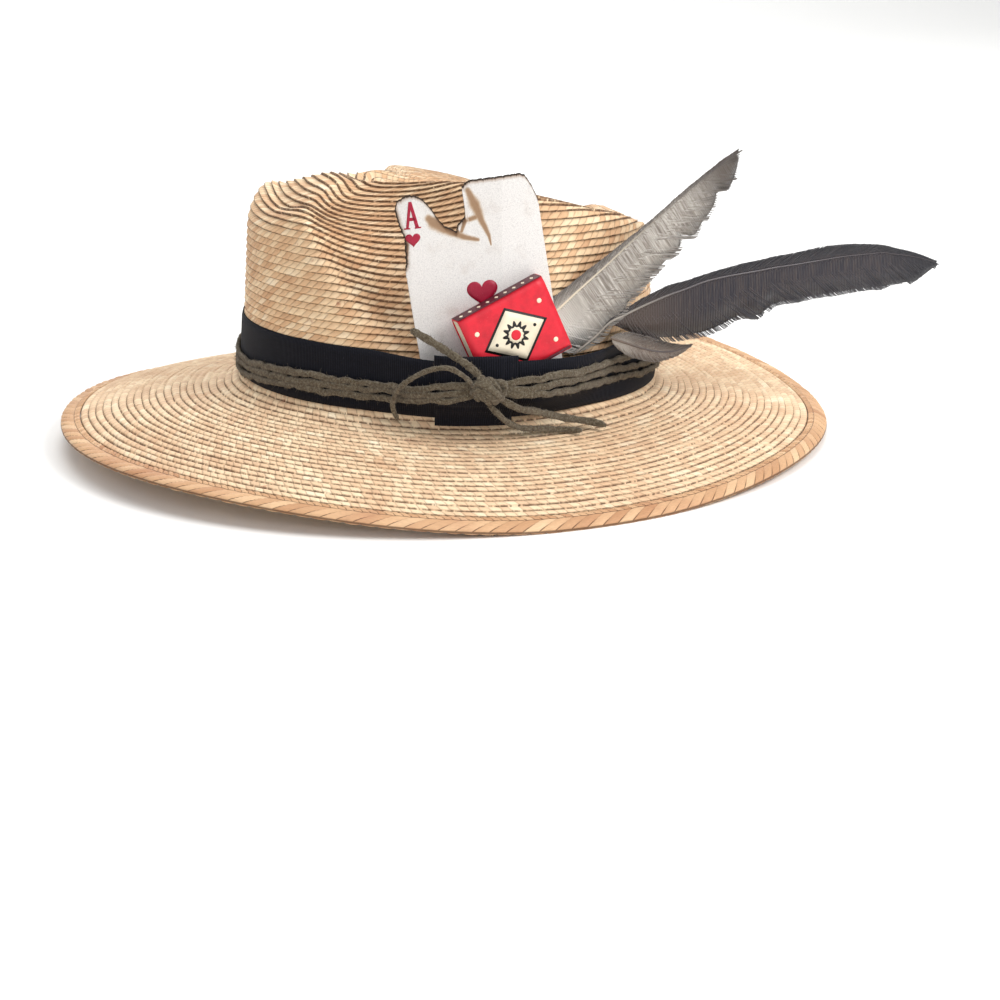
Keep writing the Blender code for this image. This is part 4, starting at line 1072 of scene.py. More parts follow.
def sewn_crown():
    """Crown of overlapping sewn rows.

    Each row is a level of the crown's own length from its foot; a row stands proud at its lower edge and
    sinks towards its upper one. point = base + normal * (relief(part of the row) - lowering).
    """
    columns = 340
    parts = np.array([0.0, 0.07, 0.30, 0.68])
    relief = np.array([-0.35, 0.88, 0.62, 0.20]) * sizes().row_relief
    lowering = 0.0004
    angle = around(columns)
    rise = np.concatenate([np.linspace(0, 1, 60), np.linspace(1, 2, 24)[1:], np.linspace(2, 3, 110)[1:]])
    base = crown_surface(angle, rise[None])
    normal = grid_normals(base)
    normal[:, -1] = normal[:, -2]
    steps = np.linalg.norm(np.diff(base, axis=1), axis=2)
    length = np.concatenate([np.zeros((columns, 1)), steps.cumsum(1)], 1)
    share = length / length[:, -1:]
    rows = int(round(length[:, -1].mean() / sizes().crown_row))
    near_tip = ease((share - 0.45) / 0.40)
    level = length / sizes().crown_row * (1 - near_tip) + rows * share * near_tip
    level = np.maximum.accumulate(level, axis=1) + np.linspace(0.0, 1e-6, level.shape[1])
    turn = angle[:, 0] / TURN
    wander = np.stack([drift(turn, 40 + row) for row in range(rows)], axis=1) * 0.07
    wander[:, [0, -1]] = 0.0
    border = np.arange(rows) + wander
    wanted = border[:, :-1, None] * (1 - parts) + border[:, 1:, None] * parts
    wanted = np.concatenate([wanted.reshape(columns, -1), border[:, -1:]], axis=1)
    painted = np.concatenate([(np.arange(rows - 1)[:, None] + parts).ravel(), [rows - 1.0]])
    lift = np.concatenate([np.tile(relief, rows - 1), relief[:1]]) - lowering
    swell = 1.0 + 0.25 * drift(turn, 9, 9, 11.0)[:, None]
    outer = read_along(base, level, wanted) + read_along(normal, level, wanted) * (lift * swell)[..., None]
    inner_level = np.linspace(0.0, rows - 1.0, 48)
    wanted = np.broadcast_to(inner_level, (columns, 48))
    inner = read_along(base, level, wanted) - read_along(normal, level, wanted) * STRAW
    skin = Skin()
    inner_numbers = skin.add_points(inner)
    outer_numbers = skin.add_points(outer)
    row_counts = ring_counts(outer, sizes().strand)
    first = np.repeat(np.arange(rows), len(parts))[:outer.shape[1]] * len(parts)
    counts = np.concatenate([ring_counts(inner, sizes().strand)[::-1], row_counts[first]])
    numbers = np.concatenate([inner_numbers[:, ::-1], outer_numbers], axis=1)
    levels = np.concatenate([inner_level[::-1], painted])
    add_rows(skin, numbers, counts, levels)
    tip = crown_surface(np.zeros(1), np.full(1, 3.0))[0]
    mark = np.stack([np.linspace(0, 12, columns + 1), np.full(columns + 1, rows - 1.0)], axis=-1)
    skin.fan(numbers[:, -1], tip - np.array([0, 0, lowering]), mark, (6.0, rows - 0.5))
    skin.fan(numbers[:, 0], tip - np.array([0, 0, STRAW]), mark, (6.0, rows - 0.5), flip=True)
    return skin


def sewn_brim():
    """Brim of rounded rows from the edge plait in to the crown's foot, closed below by its underside."""
    columns = 600
    parts = np.array([0.0, 0.16, 0.50, 0.84])
    relief = np.array([-0.75, 0.0, 0.25, 0.0]) * sizes().row_relief
    angle = around(columns)
    rows = int(round((BRIM_WIDTH - HEAD_WIDTH) / 2 * sewn_share() / sizes().brim_row))
    tuck = 0.012
    edge = sewn_share() + 0.011
    painted = np.concatenate([(np.arange(rows)[:, None] + parts).ravel(), [float(rows)]])
    turn = angle[:, 0] / TURN
    wander = np.stack([drift(turn, 140 + int(row)) for row in painted], axis=1) * 0.10
    wander[:, :2] = 0.0
    share = edge - (edge + tuck) * (painted + wander) / rows
    base = brim_surface(share, angle)
    lift = np.concatenate([np.tile(relief, rows), relief[:1]])
    swell = 1.0 + 0.3 * drift(turn, 19, 9, 13.0)[:, None]
    upper = base + grid_normals(base) * (lift * swell)[..., None]
    under_share = np.linspace(-tuck, edge, rows + 1)
    under_base = brim_surface(under_share[None], angle)
    under = under_base + grid_normals(under_base) * STRAW
    under[..., 2] = np.maximum(under[..., 2], 0.0002)
    skin = Skin()
    points = np.concatenate([upper, under], axis=1)
    numbers = skin.add_points(points)
    numbers = np.concatenate([numbers, numbers[:, :1]], axis=1)
    upper_counts = ring_counts(upper, sizes().strand)
    first = np.minimum(np.arange(upper.shape[1]) // len(parts) * len(parts), upper.shape[1] - 1)
    counts = np.concatenate([upper_counts[first], ring_counts(under, sizes().strand), upper_counts[:1]])
    levels = np.concatenate([painted, np.arange(rows, -1.0, -1.0), [0.0]])
    add_rows(skin, numbers, counts, levels)
    return skin


def edge_braid():
    """Flat plait round the brim's edge: two bands of leaning cells that swell between their crossings.

    The section is a flattened superellipse; its paint y runs 0 to 1 over the outer band, 1 to 2 over the
    inner band and 2 to 3 underneath. A cell's swell is 1 - |2 p - 1|^4 of its part p.
    """
    columns = 1500
    section = 28
    angle = around(columns)
    inner = brim_surface(sewn_share(), angle[:, 0])
    outward = unit(paired(np.cos(angle[:, 0]) * BRIM_WIDTH, np.sin(angle[:, 0]) * BRIM_LENGTH, 0.0))
    t = np.linspace(0.0, TURN, section, endpoint=False) + 1e-4
    across = 0.5 + 0.5 * signed_power(np.cos(t), 0.8)
    level = signed_power(np.sin(t), 0.65)
    half = EDGE_PLAIT_THICKNESS / 2
    drop = inner[:, 2] - STRAW / 2 - edge_height(angle[:, 0])
    points = inner[:, None] + outward[:, None] * (GAP + (EDGE_PLAIT_WIDTH - GAP) * across)[None, :, None]
    points[..., 2] = inner[:, 2:] - STRAW / 2 - drop[:, None] * across + half * level
    split = 0.32
    top = t < math.pi
    outer_band = top & (across >= split)
    band = np.where(top, 1 + (split - across) / split, 2 + across)
    band = np.where(outer_band, (1 - across) / (1 - split), band)
    ring = np.linalg.norm(np.roll(points[:, 0], -1, axis=0) - points[:, 0], axis=-1).sum()
    cells = 2 * round(ring / sizes().edge_cell / 2)
    turn = angle / TURN
    zone = np.floor(np.minimum(band, 2.999))
    part = band - zone
    slant = np.array([-1.5, 0.9, -0.5])[zone.astype(int)]
    speed = np.array([1.0, 2.0, 1.0])[zone.astype(int)]
    place = turn * cells * speed + slant * part
    cell_part = place - np.floor(place)
    swell = (1 - np.abs(2 * cell_part - 1) ** 4) * (1 - np.abs(2 * part - 1) ** 6)
    chance = np.random.default_rng(5).random(cells * 2 + 4)
    swell = swell * (0.75 + 0.5 * chance[(np.floor(place).astype(int)) % cells])
    points = points + grid_normals(points) * (EDGE_RELIEF * (swell - 1.0))[..., None]
    points[..., 2] = np.maximum(points[..., 2], FLOOR_GAP)
    turns = np.linspace(0.0, cells, columns + 1)[:, None]
    levels = np.append(band, 3.0)[None]
    skin = Skin()
    skin.grid(points, paired(turns, levels), around=True, closed=True)
    return skin


def ribbon_band():
    """Ribbon round the crown's foot: point = wall at a height, standing off by push and thickness."""
    columns = 420
    angle = around(columns)
    heights = np.linspace(GAP, RIBBON_WIDTH, 12)
    edge = np.minimum(heights - heights[0], heights[-1] - heights)
    stand = RIBBON * (0.55 + 0.45 * ease(edge / RIB_PAINT))
    outer = on_ribbon(angle, heights, stand)
    inner = on_ribbon(angle, heights[::-1], 0.0)
    points = np.concatenate([outer, inner], axis=1)
    length = np.linalg.norm(np.roll(outer[:, 6], -1, axis=0) - outer[:, 6], axis=-1).sum()
    ribs = round(length / RIB)
    level = np.concatenate([heights, heights[::-1], heights[:1]]) / RIB_PAINT
    paint = paired(level[None], np.linspace(0, ribs, columns + 1)[:, None])
    skin = Skin()
    skin.grid(points, paint, around=True, closed=True)
    return skin, length


def closed_sheet(front, back, paint):
    """Thin body between a front and a back grid whose rims are joined."""
    skin = Skin()
    numbers = skin.add_points(front)
    behind = skin.add_points(back)
    marks = quads(paint, tail=True)
    skin.add_faces(quads(numbers), marks)
    skin.add_faces(quads(behind)[..., ::-1], marks[..., ::-1, :])
    rims = (
        (numbers[0], behind[0], paint[0]), (numbers[-1, ::-1], behind[-1, ::-1], paint[-1, ::-1]),
        (numbers[::-1, 0], behind[::-1, 0], paint[::-1, 0]), (numbers[:, -1], behind[:, -1], paint[:, -1]),
    )
    for near, far, mark in rims:
        strip = np.stack([near[:-1], near[1:], far[1:], far[:-1]], axis=-1)
        skin.add_faces(strip, np.stack([mark[:-1], mark[1:], mark[1:], mark[:-1]], axis=-2))
    return skin


def flat_bow():
    """Flat folded bow: three plies that step down to the sides and a lobe puffed out below."""
    columns = 110
    rows = 48
    angle = np.linspace(BOW_START, BOW_END, columns)[:, None]
    height = np.linspace(-BOW_OVERHANG, RIBBON_WIDTH + BOW_OVERHANG, rows)[None]
    turn = (angle - BOW_START) / (BOW_END - BOW_START)
    level = (height + BOW_OVERHANG) / (RIBBON_WIDTH + 2 * BOW_OVERHANG)
    side = np.minimum(turn, 1 - turn)
    ply = 0.0005 * ease((side - 0.10 - 0.05 * np.sin(5 * level)) / 0.03)
    ply = ply + 0.0005 * ease((side - 0.22 + 0.06 * level) / 0.03)
    lobe = 0.0013 * np.sin(math.pi * np.clip(level / 0.30, 0, 1)) ** 0.7 * ease(side / 0.05)
    crease = -0.0004 * np.exp(-((level - 0.31) / 0.02) ** 2)
    crease = crease - 0.0003 * np.exp(-((level - 0.72 + 0.1 * turn) / 0.02) ** 2)
    rim = ease(np.minimum(side / 0.02, np.minimum(level, 1 - level) / 0.02))
    base = RIBBON + GAP * 1.2
    front = on_ribbon(angle, height, base + 0.0003 + (0.0003 + ply + lobe + crease) * rim)
    back = on_ribbon(angle, height, base)
    paint = paired(height / RIB_PAINT, turn * BOW_RIBS)
    return closed_sheet(front, back, paint)


def smooth_route(points, count):
    """Evenly spaced points on a Catmull-Rom curve through a few chosen ones."""
    points = np.array(points)
    padded = np.concatenate([2 * points[:1] - points[1:2], points, 2 * points[-1:] - points[-2:-1]])
    t = np.linspace(0, 1, 40, endpoint=False)[None, :, None]
    a, b, c, d = (padded[k:len(padded) - 3 + k, None] for k in range(4))
    square = (2 * a - 5 * b + 4 * c - d) * t ** 2
    cube = (3 * b - a - 3 * c + d) * t ** 3
    curve = 0.5 * (2 * b + (c - a) * t + square + cube)
    curve = np.concatenate([curve.reshape(-1, 3), points[-1:]])
    length = np.concatenate([[0.0], np.linalg.norm(np.diff(curve, axis=0), axis=1).cumsum()])
    at = np.linspace(0, length[-1], count)
    return np.stack([np.interp(at, length, curve[:, k]) for k in range(3)], axis=-1), length[-1]


def lace_strap(skin, path, outward, width, thickness, seed, taper=True):
    """Flat lace along a path: a rounded section whose width and twist wander a little, ends rounded."""
    count = len(path)
    ring = 16
    forward = unit(np.gradient(path, axis=0))
    across = unit(np.cross(outward, forward))
    face = np.cross(forward, across)
    share = np.linspace(0, 1, count)
    twist = 0.22 * drift(share, seed, 5, 2.0)
    wide = width / 2 * (1 + 0.20 * drift(share, seed + 1, 9, 5.0))
    if taper:
        ends = np.clip(np.minimum(share, 1 - share) * (count - 1) / 3.0, 0, 1)
        wide = wide * (0.35 + 0.65 * np.sqrt(1 - (1 - ends) ** 2))
    t = np.linspace(0, TURN, ring, endpoint=False)[None]
    flat = signed_power(np.cos(t), 0.75) * wide[:, None]
    thick = signed_power(np.sin(t), 0.85) * thickness / 2 * (1 + 0.10 * drift(share, seed + 2)[:, None])
    chance = np.random.default_rng(seed)
    ragged = 1 + 0.05 * (chance.random((count, ring)) - 0.5)
    u = (np.cos(twist)[:, None] * flat - np.sin(twist)[:, None] * thick) * ragged
    v = (np.sin(twist)[:, None] * flat + np.cos(twist)[:, None] * thick) * ragged
    sections = path[:, None] + across[:, None] * u[..., None] + face[:, None] * v[..., None]
    length = np.linalg.norm(np.diff(path, axis=0), axis=1).sum()
    paint = paired(share[:, None] * length / 0.002, np.linspace(0, 4, ring + 1)[None])
    skin.lofts(sections[None], paint[None])
    return sections


def wrap_path(row, thickness):
    """One lace's way round the ribbon, over the bow, at its own height."""
    table = LACE_KNOT_START + LACE_ROWS + LACE_KNOT_END
    angle = np.linspace(table[0][0], table[-1][0], 640)
    height = smooth_through(table, angle, row + 1)
    share = np.linspace(0.0, 1.0, 640)
    height = height + 0.0009 * drift(share, 400 + row, 9, 7.0) * ease(np.minimum(share, 1 - share) / 0.02)
    angle = np.radians(angle)
    lift = math.radians(5.0)
    turned = np.mod(angle, TURN)
    over = ease((turned - BOW_START + 2 * lift) / lift) * ease((BOW_END + 2 * lift - turned) / lift)
    stand = RIBBON + GAP + thickness / 2 + (BOW + GAP) * over
    path = on_ribbon(angle, height, stand)
    out = unit(on_ribbon(angle, height, stand + 0.002) - path)
    return path, out


def knot_frame():
    """Middle of the knot and its directions: along the hat, up and outwards."""
    angle = np.array([KNOT_ANGLE])
    height = np.array([KNOT_HEIGHT])
    stand = RIBBON + GAP + BOW + GAP
    middle = on_ribbon(angle, height, stand + LACE_KNOT[1] / 2)[0]
    out = unit(on_ribbon(angle, height, stand + 0.01) - on_ribbon(angle, height, stand))[0]
    up = np.array([0.0, 0.0, 1.0])
    right = unit(np.cross(up, out))
    return middle, right, np.cross(out, right), out


# Knot's strands: width of the lace, then places from the knot's middle to the right, up and outwards;
# in millimetres
KNOT_STRANDS = (
    (3.2, (
        (1.8, 0.6, 2.4), (0.4, 3.2, 3.4), (-1.6, 5.4, 2.4),
        (-3.4, 6.4, 0.9), (-4.8, 7.4, 0.4),
    )),
    (3.4, (
        (-7.2, 2.6, -1.2), (-5.2, 4.4, 1.6), (-1.6, 3.4, 3.4),
        (2.2, 0.6, 3.9), (5.2, -2.4, 2.4), (6.4, -4.2, -0.8),
    )),
    (3.3, (
        (-7.4, -1.0, -1.0), (-5.6, 1.2, 1.8), (-2.4, 0.6, 3.3),
        (1.0, -2.2, 3.6), (3.2, -4.6, 1.8), (3.4, -5.4, -1.2),
    )),
    (3.0, (
        (-4.0, -4.0, -1.4), (-5.6, -2.4, 1.0), (-4.4, -1.4, 2.4),
        (-1.4, -3.4, 2.6), (0.4, -5.0, 1.2), (0.6, -5.6, -1.0),
    )),
    (2.8, (
        (2.4, 3.4, -1.2), (4.0, 4.6, 1.0), (6.6, 4.0, 2.2),
        (7.4, 1.6, 2.2), (5.8, 0.4, 1.4), (3.6, 1.4, 0.2),
    )),
    (2.6, (
        (-1.0, 5.0, -1.4), (0.6, 5.6, 1.2), (3.0, 3.4, 2.6),
        (4.6, 1.0, 2.4), (6.8, -0.8, 1.0), (7.4, -2.2, -1.0),
    )),
)


def lace_knot():
    """Knot: six short strands that cross over a small filled middle."""
    middle, right, up, out = knot_frame()
    skin = Skin()
    t = np.linspace(0, math.pi, 15)[:, None]
    ring = np.linspace(0, TURN, 20, endpoint=False)[None]
    lump = paired(-np.cos(t), np.sin(t) * np.cos(ring), np.sin(t) * np.sin(ring))
    lump = lump[1:-1] * np.array([0.0062, 0.0046, 0.0030])
    body = middle + lump[..., :1] * right + lump[..., 1:2] * up + lump[..., 2:] * out
    paint = paired(np.linspace(0, 4, 13)[:, None], np.linspace(0, 4, 21)[None])
    skin.lofts(body[None], paint[None])
    for index, (width, points) in enumerate(KNOT_STRANDS):
        local = smooth_route(np.array(points) / 1000.0, 46)[0]
        path = middle + local[:, :1] * right + local[:, 1:2] * up + (local[:, 2:] - 0.0003) * out
        lace_strap(skin, path, unit(path - middle + out * 0.002), width / 1000.0, 0.0019, 300 + index)
    return skin


def nap_fibres(surfaces, count):
    """Loose suede fibres: thin three-sided spikes that start on the laces' skins and curl off them."""
    chance = np.random.default_rng(21)
    places = []
    for sections in surfaces:
        middle = sections.mean(axis=1, keepdims=True)
        out = unit(sections - middle)
        places.append(np.stack([sections, out], axis=-2).reshape(-1, 2, 3))
    places = np.concatenate(places)
    chosen = places[chance.integers(0, len(places), count)]
    root = chosen[:, 0]
    out = unit(chosen[:, 1] + 1.1 * (chance.random((count, 3)) - 0.5))
    bend = unit(chance.random((count, 3)) - 0.5)
    length = 0.0004 + 0.0014 * chance.random(count) ** 2
    t = np.linspace(0, 1, 4)[None, :, None]
    reach = length[:, None, None]
    path = root[:, None] + out[:, None] * t * reach + bend[:, None] * t ** 2 * reach * 0.5
    side = unit(np.cross(out, bend))
    other = np.cross(out, side)
    angle = np.linspace(0, TURN, 3, endpoint=False)
    radius = (0.00010 * (1 - 0.8 * t))[..., None]
    ring = side[:, None, None] * np.cos(angle)[:, None] + other[:, None, None] * np.sin(angle)[:, None]
    sections = path[:, :, None] + ring * radius
    paint = np.zeros((count, 4, 4, 2))
    skin = Skin()
    skin.lofts(sections, paint)
    return skin


def burned_card():
    """Card: a sheet along the wall whose top and left edges are burned away along two ragged lines."""
    columns = 170
    rows = 220
    across = np.linspace(0, 1, columns)[:, None]
    up = np.linspace(0, 1, rows)[None]
    table = np.array(CARD_TOP)
    top = np.interp(across, table[:, 0], table[:, 1])
    top = top + 0.004 * drift(across, 61, 9, 5.0) + 0.004 * drift(across, 62, 9, 17.0)
    top = np.minimum(top, 1.0)
    whole = 0.70
    level = np.where(up < 0.75, up / 0.75 * whole, whole + (up - 0.75) / 0.25 * (top - whole))
    rise = level * CARD_LENGTH
    left = np.array(CARD_LEFT)
    gone = np.interp(level, left[:, 0], left[:, 1])
    gone = gone + 0.006 * ease(gone / 0.03) * drift(level, 63, 8, 9.0) * ease((level - 0.5) / 0.1)
    place = (-0.5 + gone + (1 - gone) * across) * CARD_WIDTH + CARD_SLIP * (1 - level)
    from_top = (top - level) * CARD_LENGTH * 1000.0
    from_left = (1 - gone) * across * CARD_WIDTH * 1000.0 + 6.0 * (1 - ease((level - 0.52) / 0.10))
    burn = np.minimum(from_top, from_left)
    curl = 0.00012 * np.exp(-burn / 1.5) * (1 + drift(across + up * 0.3, 64, 7, 6.0))
    seat = paired(place + CARD_WIDTH / 2, rise)[:, :, None] * 1000.0
    scorch = np.zeros(seat.shape[:2])
    for mark in SCORCH_MARKS:
        way = np.array(mark)
        start = way[:-1, :2]
        step = way[1:, :2] - start
        share = np.clip(((seat - start) * step).sum(-1) / (step ** 2).sum(-1), 0, 1)
        apart = np.linalg.norm(seat - start - share[..., None] * step, axis=-1)
        reach = way[:-1, 2] + (way[1:, 2] - way[:-1, 2]) * share
        scorch = np.maximum(scorch, (1 - ease((apart / reach - 0.15) / 1.15)).max(axis=-1))
    front = card_point(place, rise, CARD + curl)
    back = card_point(place, rise, curl * 0.6)
    paint = paired(burn, scorch)
    return closed_sheet(front, back, paint)


def badge(skin, outline, surface, low, high):
    """Thin printed shape: an outline drawn as rings between two heights over a surface."""
    count = len(outline)
    middle = outline.mean(axis=0)
    rings = ((0.02, low), (0.5, low), (1.0, low), (1.0, high), (0.66, high), (0.33, high), (0.02, high))
    sections = np.stack([
        surface(middle + (outline - middle) * reach, stand) for reach, stand in rings
    ])
    paint = np.zeros((1, len(rings), count + 1, 2))
    skin.lofts(sections[None], paint)


def polygon(corners, steps=8):
    """Outline through corners with a few points on each side."""
    corners = np.array(corners, dtype=float)
    following = np.roll(corners, -1, axis=0)
    t = np.linspace(0, 1, steps, endpoint=False)[None, :, None]
    return (corners[:, None] * (1 - t) + following[:, None] * t).reshape(-1, 2)


def heart(x, y, size):
    """Heart outline: x = 16 sin^3 t, y = 13 cos t - 5 cos 2t - 2 cos 3t - cos 4t, scaled to its width."""
    t = np.linspace(0, TURN, 72, endpoint=False)
    across = 16 * np.sin(t) ** 3
    up = 13 * np.cos(t) - 5 * np.cos(2 * t) - 2 * np.cos(3 * t) - np.cos(4 * t)
    return np.stack([x + across * size / 32, y + up * size / 32 + size * 0.05], axis=-1)


def card_pips():
    """Plain corner letter and hearts, printed on the card's face; places from its lower left corner."""
    skin = Skin()

    def face(places, stand):
        return card_point(places[:, 0] - CARD_WIDTH / 2, places[:, 1], stand)

    low = CARD - 0.00005
    high = CARD + 0.00009
    x, y, tall, wide, stroke = 0.0083, 0.0768, 0.0118, 0.0060, 0.00125
    half = wide / 2
    foot = y - tall / 2
    head = y + tall / 2
    peak = ((x + stroke * 0.55, head), (x - stroke * 0.55, head))
    strokes = (
        ((x - half, foot), (x - half + stroke, foot), *peak),
        ((x + half - stroke * 1.3, foot), (x + half, foot), *peak),
        ((x - half * 0.55, y - tall * 0.20), (x + half * 0.55, y - tall * 0.20),
         (x + half * 0.45, y - tall * 0.08), (x - half * 0.45, y - tall * 0.08)),
    )
    for corners in strokes:
        badge(skin, polygon(corners), face, low, high)
    for side in (-1, 1):
        serif = polygon(((-0.0014, 0.0), (0.0014, 0.0), (0.0014, 0.0006), (-0.0014, 0.0006)), 6)
        badge(skin, serif + np.array([x + side * (half - stroke / 2), foot]), face, low, high + 0.00002)
    badge(skin, heart(x - 0.0003, y - 0.0108, 0.0066), face, low, high)
    badge(skin, heart(0.0360, 0.0388, 0.0135), face, low, high)
    return skin


def box_place(local):
    """Places from the matchbox's own directions: along its length, outwards and up its face."""
    angle = angle_at(MATCHBOX_PLACE)
    middle = wall(angle, foot_height(angle) + MATCHBOX_RISE, box_stand() + MATCHBOX_DEPTH / 2)
    turn = np.array(Matrix.Rotation(-MATCHBOX_LEAN, 3, "X") @ Matrix.Rotation(-MATCHBOX_ROLL, 3, "Y"))
    return middle + np.asarray(local) @ turn.T


def box_sleeve():
    """Sleeve: a rounded rectangle swept along the box, over the outside and back through the inside."""
    ring = 96
    t = np.linspace(0, TURN, ring, endpoint=False)
    way = paired(np.cos(t), np.sin(t))

    def section(deep, tall, x, radius):
        limit = np.array([deep, tall]) / 2 - radius
        core = way / (np.abs(way) / limit).max(axis=1, keepdims=True)
        outline = core + unit(way * (np.abs(core) > limit * 0.985)) * radius
        return np.concatenate([np.full((ring, 1), x), outline], axis=1)

    half = MATCHBOX_LENGTH / 2
    outside = np.linspace(half, -half, 12)
    rows = [section(MATCHBOX_DEPTH, MATCHBOX_HEIGHT, x, 0.0005) for x in outside]
    inner = (MATCHBOX_DEPTH - 2 * MATCHBOX_WALL, MATCHBOX_HEIGHT - 2 * MATCHBOX_WALL)
    rows += [section(*inner, x, 0.0003) for x in outside[::-1]]
    points = box_place(np.stack(rows, axis=1))
    paint = paired(np.linspace(0, 1, ring + 1)[:, None], np.linspace(0, 1, 25)[None])
    skin = Skin()
    skin.grid(points, paint, around=True, closed=True, flip=True)
    return skin


def label_shapes():
    """Printed shapes on the sleeve's face: ink name, then outlines from the face's middle, in metres."""
    t = np.linspace(0, TURN, 96, endpoint=False)
    point = 0.5 + 0.5 * np.cos(12 * t)
    tall = MATCHBOX_HEIGHT
    wide = MATCHBOX_LENGTH
    lozenge = np.array([(-0.335, 0.0), (0.0, -0.335), (0.335, 0.0), (0.0, 0.335)])

    def scaled(size):
        return polygon(lozenge * size * np.array([wide, tall]), 14)

    def star(size, depth):
        reach = size * (1 - depth * point)
        return np.stack([np.cos(t) * reach, np.sin(t) * reach], axis=-1)

    def strip(low, high, inset=0.0006):
        return polygon(((-wide / 2 + inset, low), (wide / 2 - inset, low), (wide / 2 - inset, high),
                        (-wide / 2 + inset, high)), 10)

    shapes = [
        ("box_dark", 0, strip(-tall / 2 + 0.0006, -tall / 2 + 0.0016)),
        ("ink", 0, scaled(1.12)),
        ("box_cream", 1, scaled(1.0)),
        ("ink", 2, star(0.0064, 0.34)),
        ("box_cream", 3, star(0.0037, 0.10)),
        ("box_red", 4, star(0.0023, 0.0)),
    ]
    for side_x in (-1, 1):
        for side_y in (-1, 1):
            spot = star(0.0011, 0.0) + np.array([side_x * wide * 0.37, side_y * tall * 0.27 - 0.0010])
            shapes.append(("box_cream", 0, spot))
        bar = star(0.00075, 0.0) + np.array([side_x * wide * 0.225, 0.0])
        shapes.append(("ink", 3, bar))
    return shapes


def box_label(ink):
    """All printed shapes of one ink on the matchbox's face."""
    skin = Skin()
    front = -MATCHBOX_DEPTH / 2

    def face(places, stand):
        return box_place(paired(places[:, 0], front - stand, places[:, 1]))

    def top_side(places, stand):
        return box_place(paired(places[:, 0], places[:, 1], MATCHBOX_HEIGHT / 2 + stand))

    for name, layer, outline in label_shapes():
        if name == ink:
            badge(skin, outline, face, -PRINT_SINK, PRINT_HEIGHT + PRINT_SINK * layer)
    half = MATCHBOX_LENGTH / 2 - 0.0003
    deep = MATCHBOX_DEPTH / 2 - 0.0002
    if ink == "box_dark":
        strip = polygon(((-half, -deep), (half, -deep), (half, deep), (-half, deep)), 12)
        badge(skin, strip, top_side, -PRINT_SINK, PRINT_HEIGHT)
    if ink == "box_cream":
        for place in np.linspace(-half * 0.85, half * 0.85, 9):
            diamond = polygon(((-0.0009, 0), (0, -0.0016), (0.0009, 0), (0, 0.0016)), 4)
            badge(skin, diamond + np.array([place, 0.0]), top_side, -PRINT_SINK, PRINT_HEIGHT + PRINT_SINK)
    return skin


def feather_frame(which):
    """Root and directions of a feather: along the shaft, across the vane and out of its face."""
    length, width, place, rise, turn, tilt = FEATHERS[which]
    angle = angle_at(place)
    root = wall(angle, foot_height(angle) + rise, GAP + QUILL / 2)
    if which == "black":
        _, _, grey_place, grey_rise, grey_turn, _ = FEATHERS["grey"]
        grey_angle = angle_at(grey_place)
        grey_root = wall(grey_angle, foot_height(grey_angle) + grey_rise, GAP + QUILL / 2)
        y = grey_root[1] + (place - grey_root[0]) * math.tan(grey_turn) - QUILL - GAP
        root = np.array([place, y, foot_height(angle) + rise])
    if which == "curl":
        root = wall(angle, foot_height(angle) + rise, CURL_STAND)
    level = np.array([math.cos(turn), math.sin(turn), 0.0])
    up = np.array([0.0, 0.0, 1.0])
    along = level * math.cos(tilt) + up * math.sin(tilt)
    across = up * math.cos(tilt) - level * math.sin(tilt)
    return np.reshape(root, 3), along, across, np.cross(along, across), length, width


def shaft_point(which, table, share):
    """Middle of a feather's shaft at shares of its length."""
    root, along, across, _, length, width = feather_frame(which)
    rise = smooth_through(table, share, 1)
    return root + along * (share * length)[..., None] + across * (rise * width)[..., None]


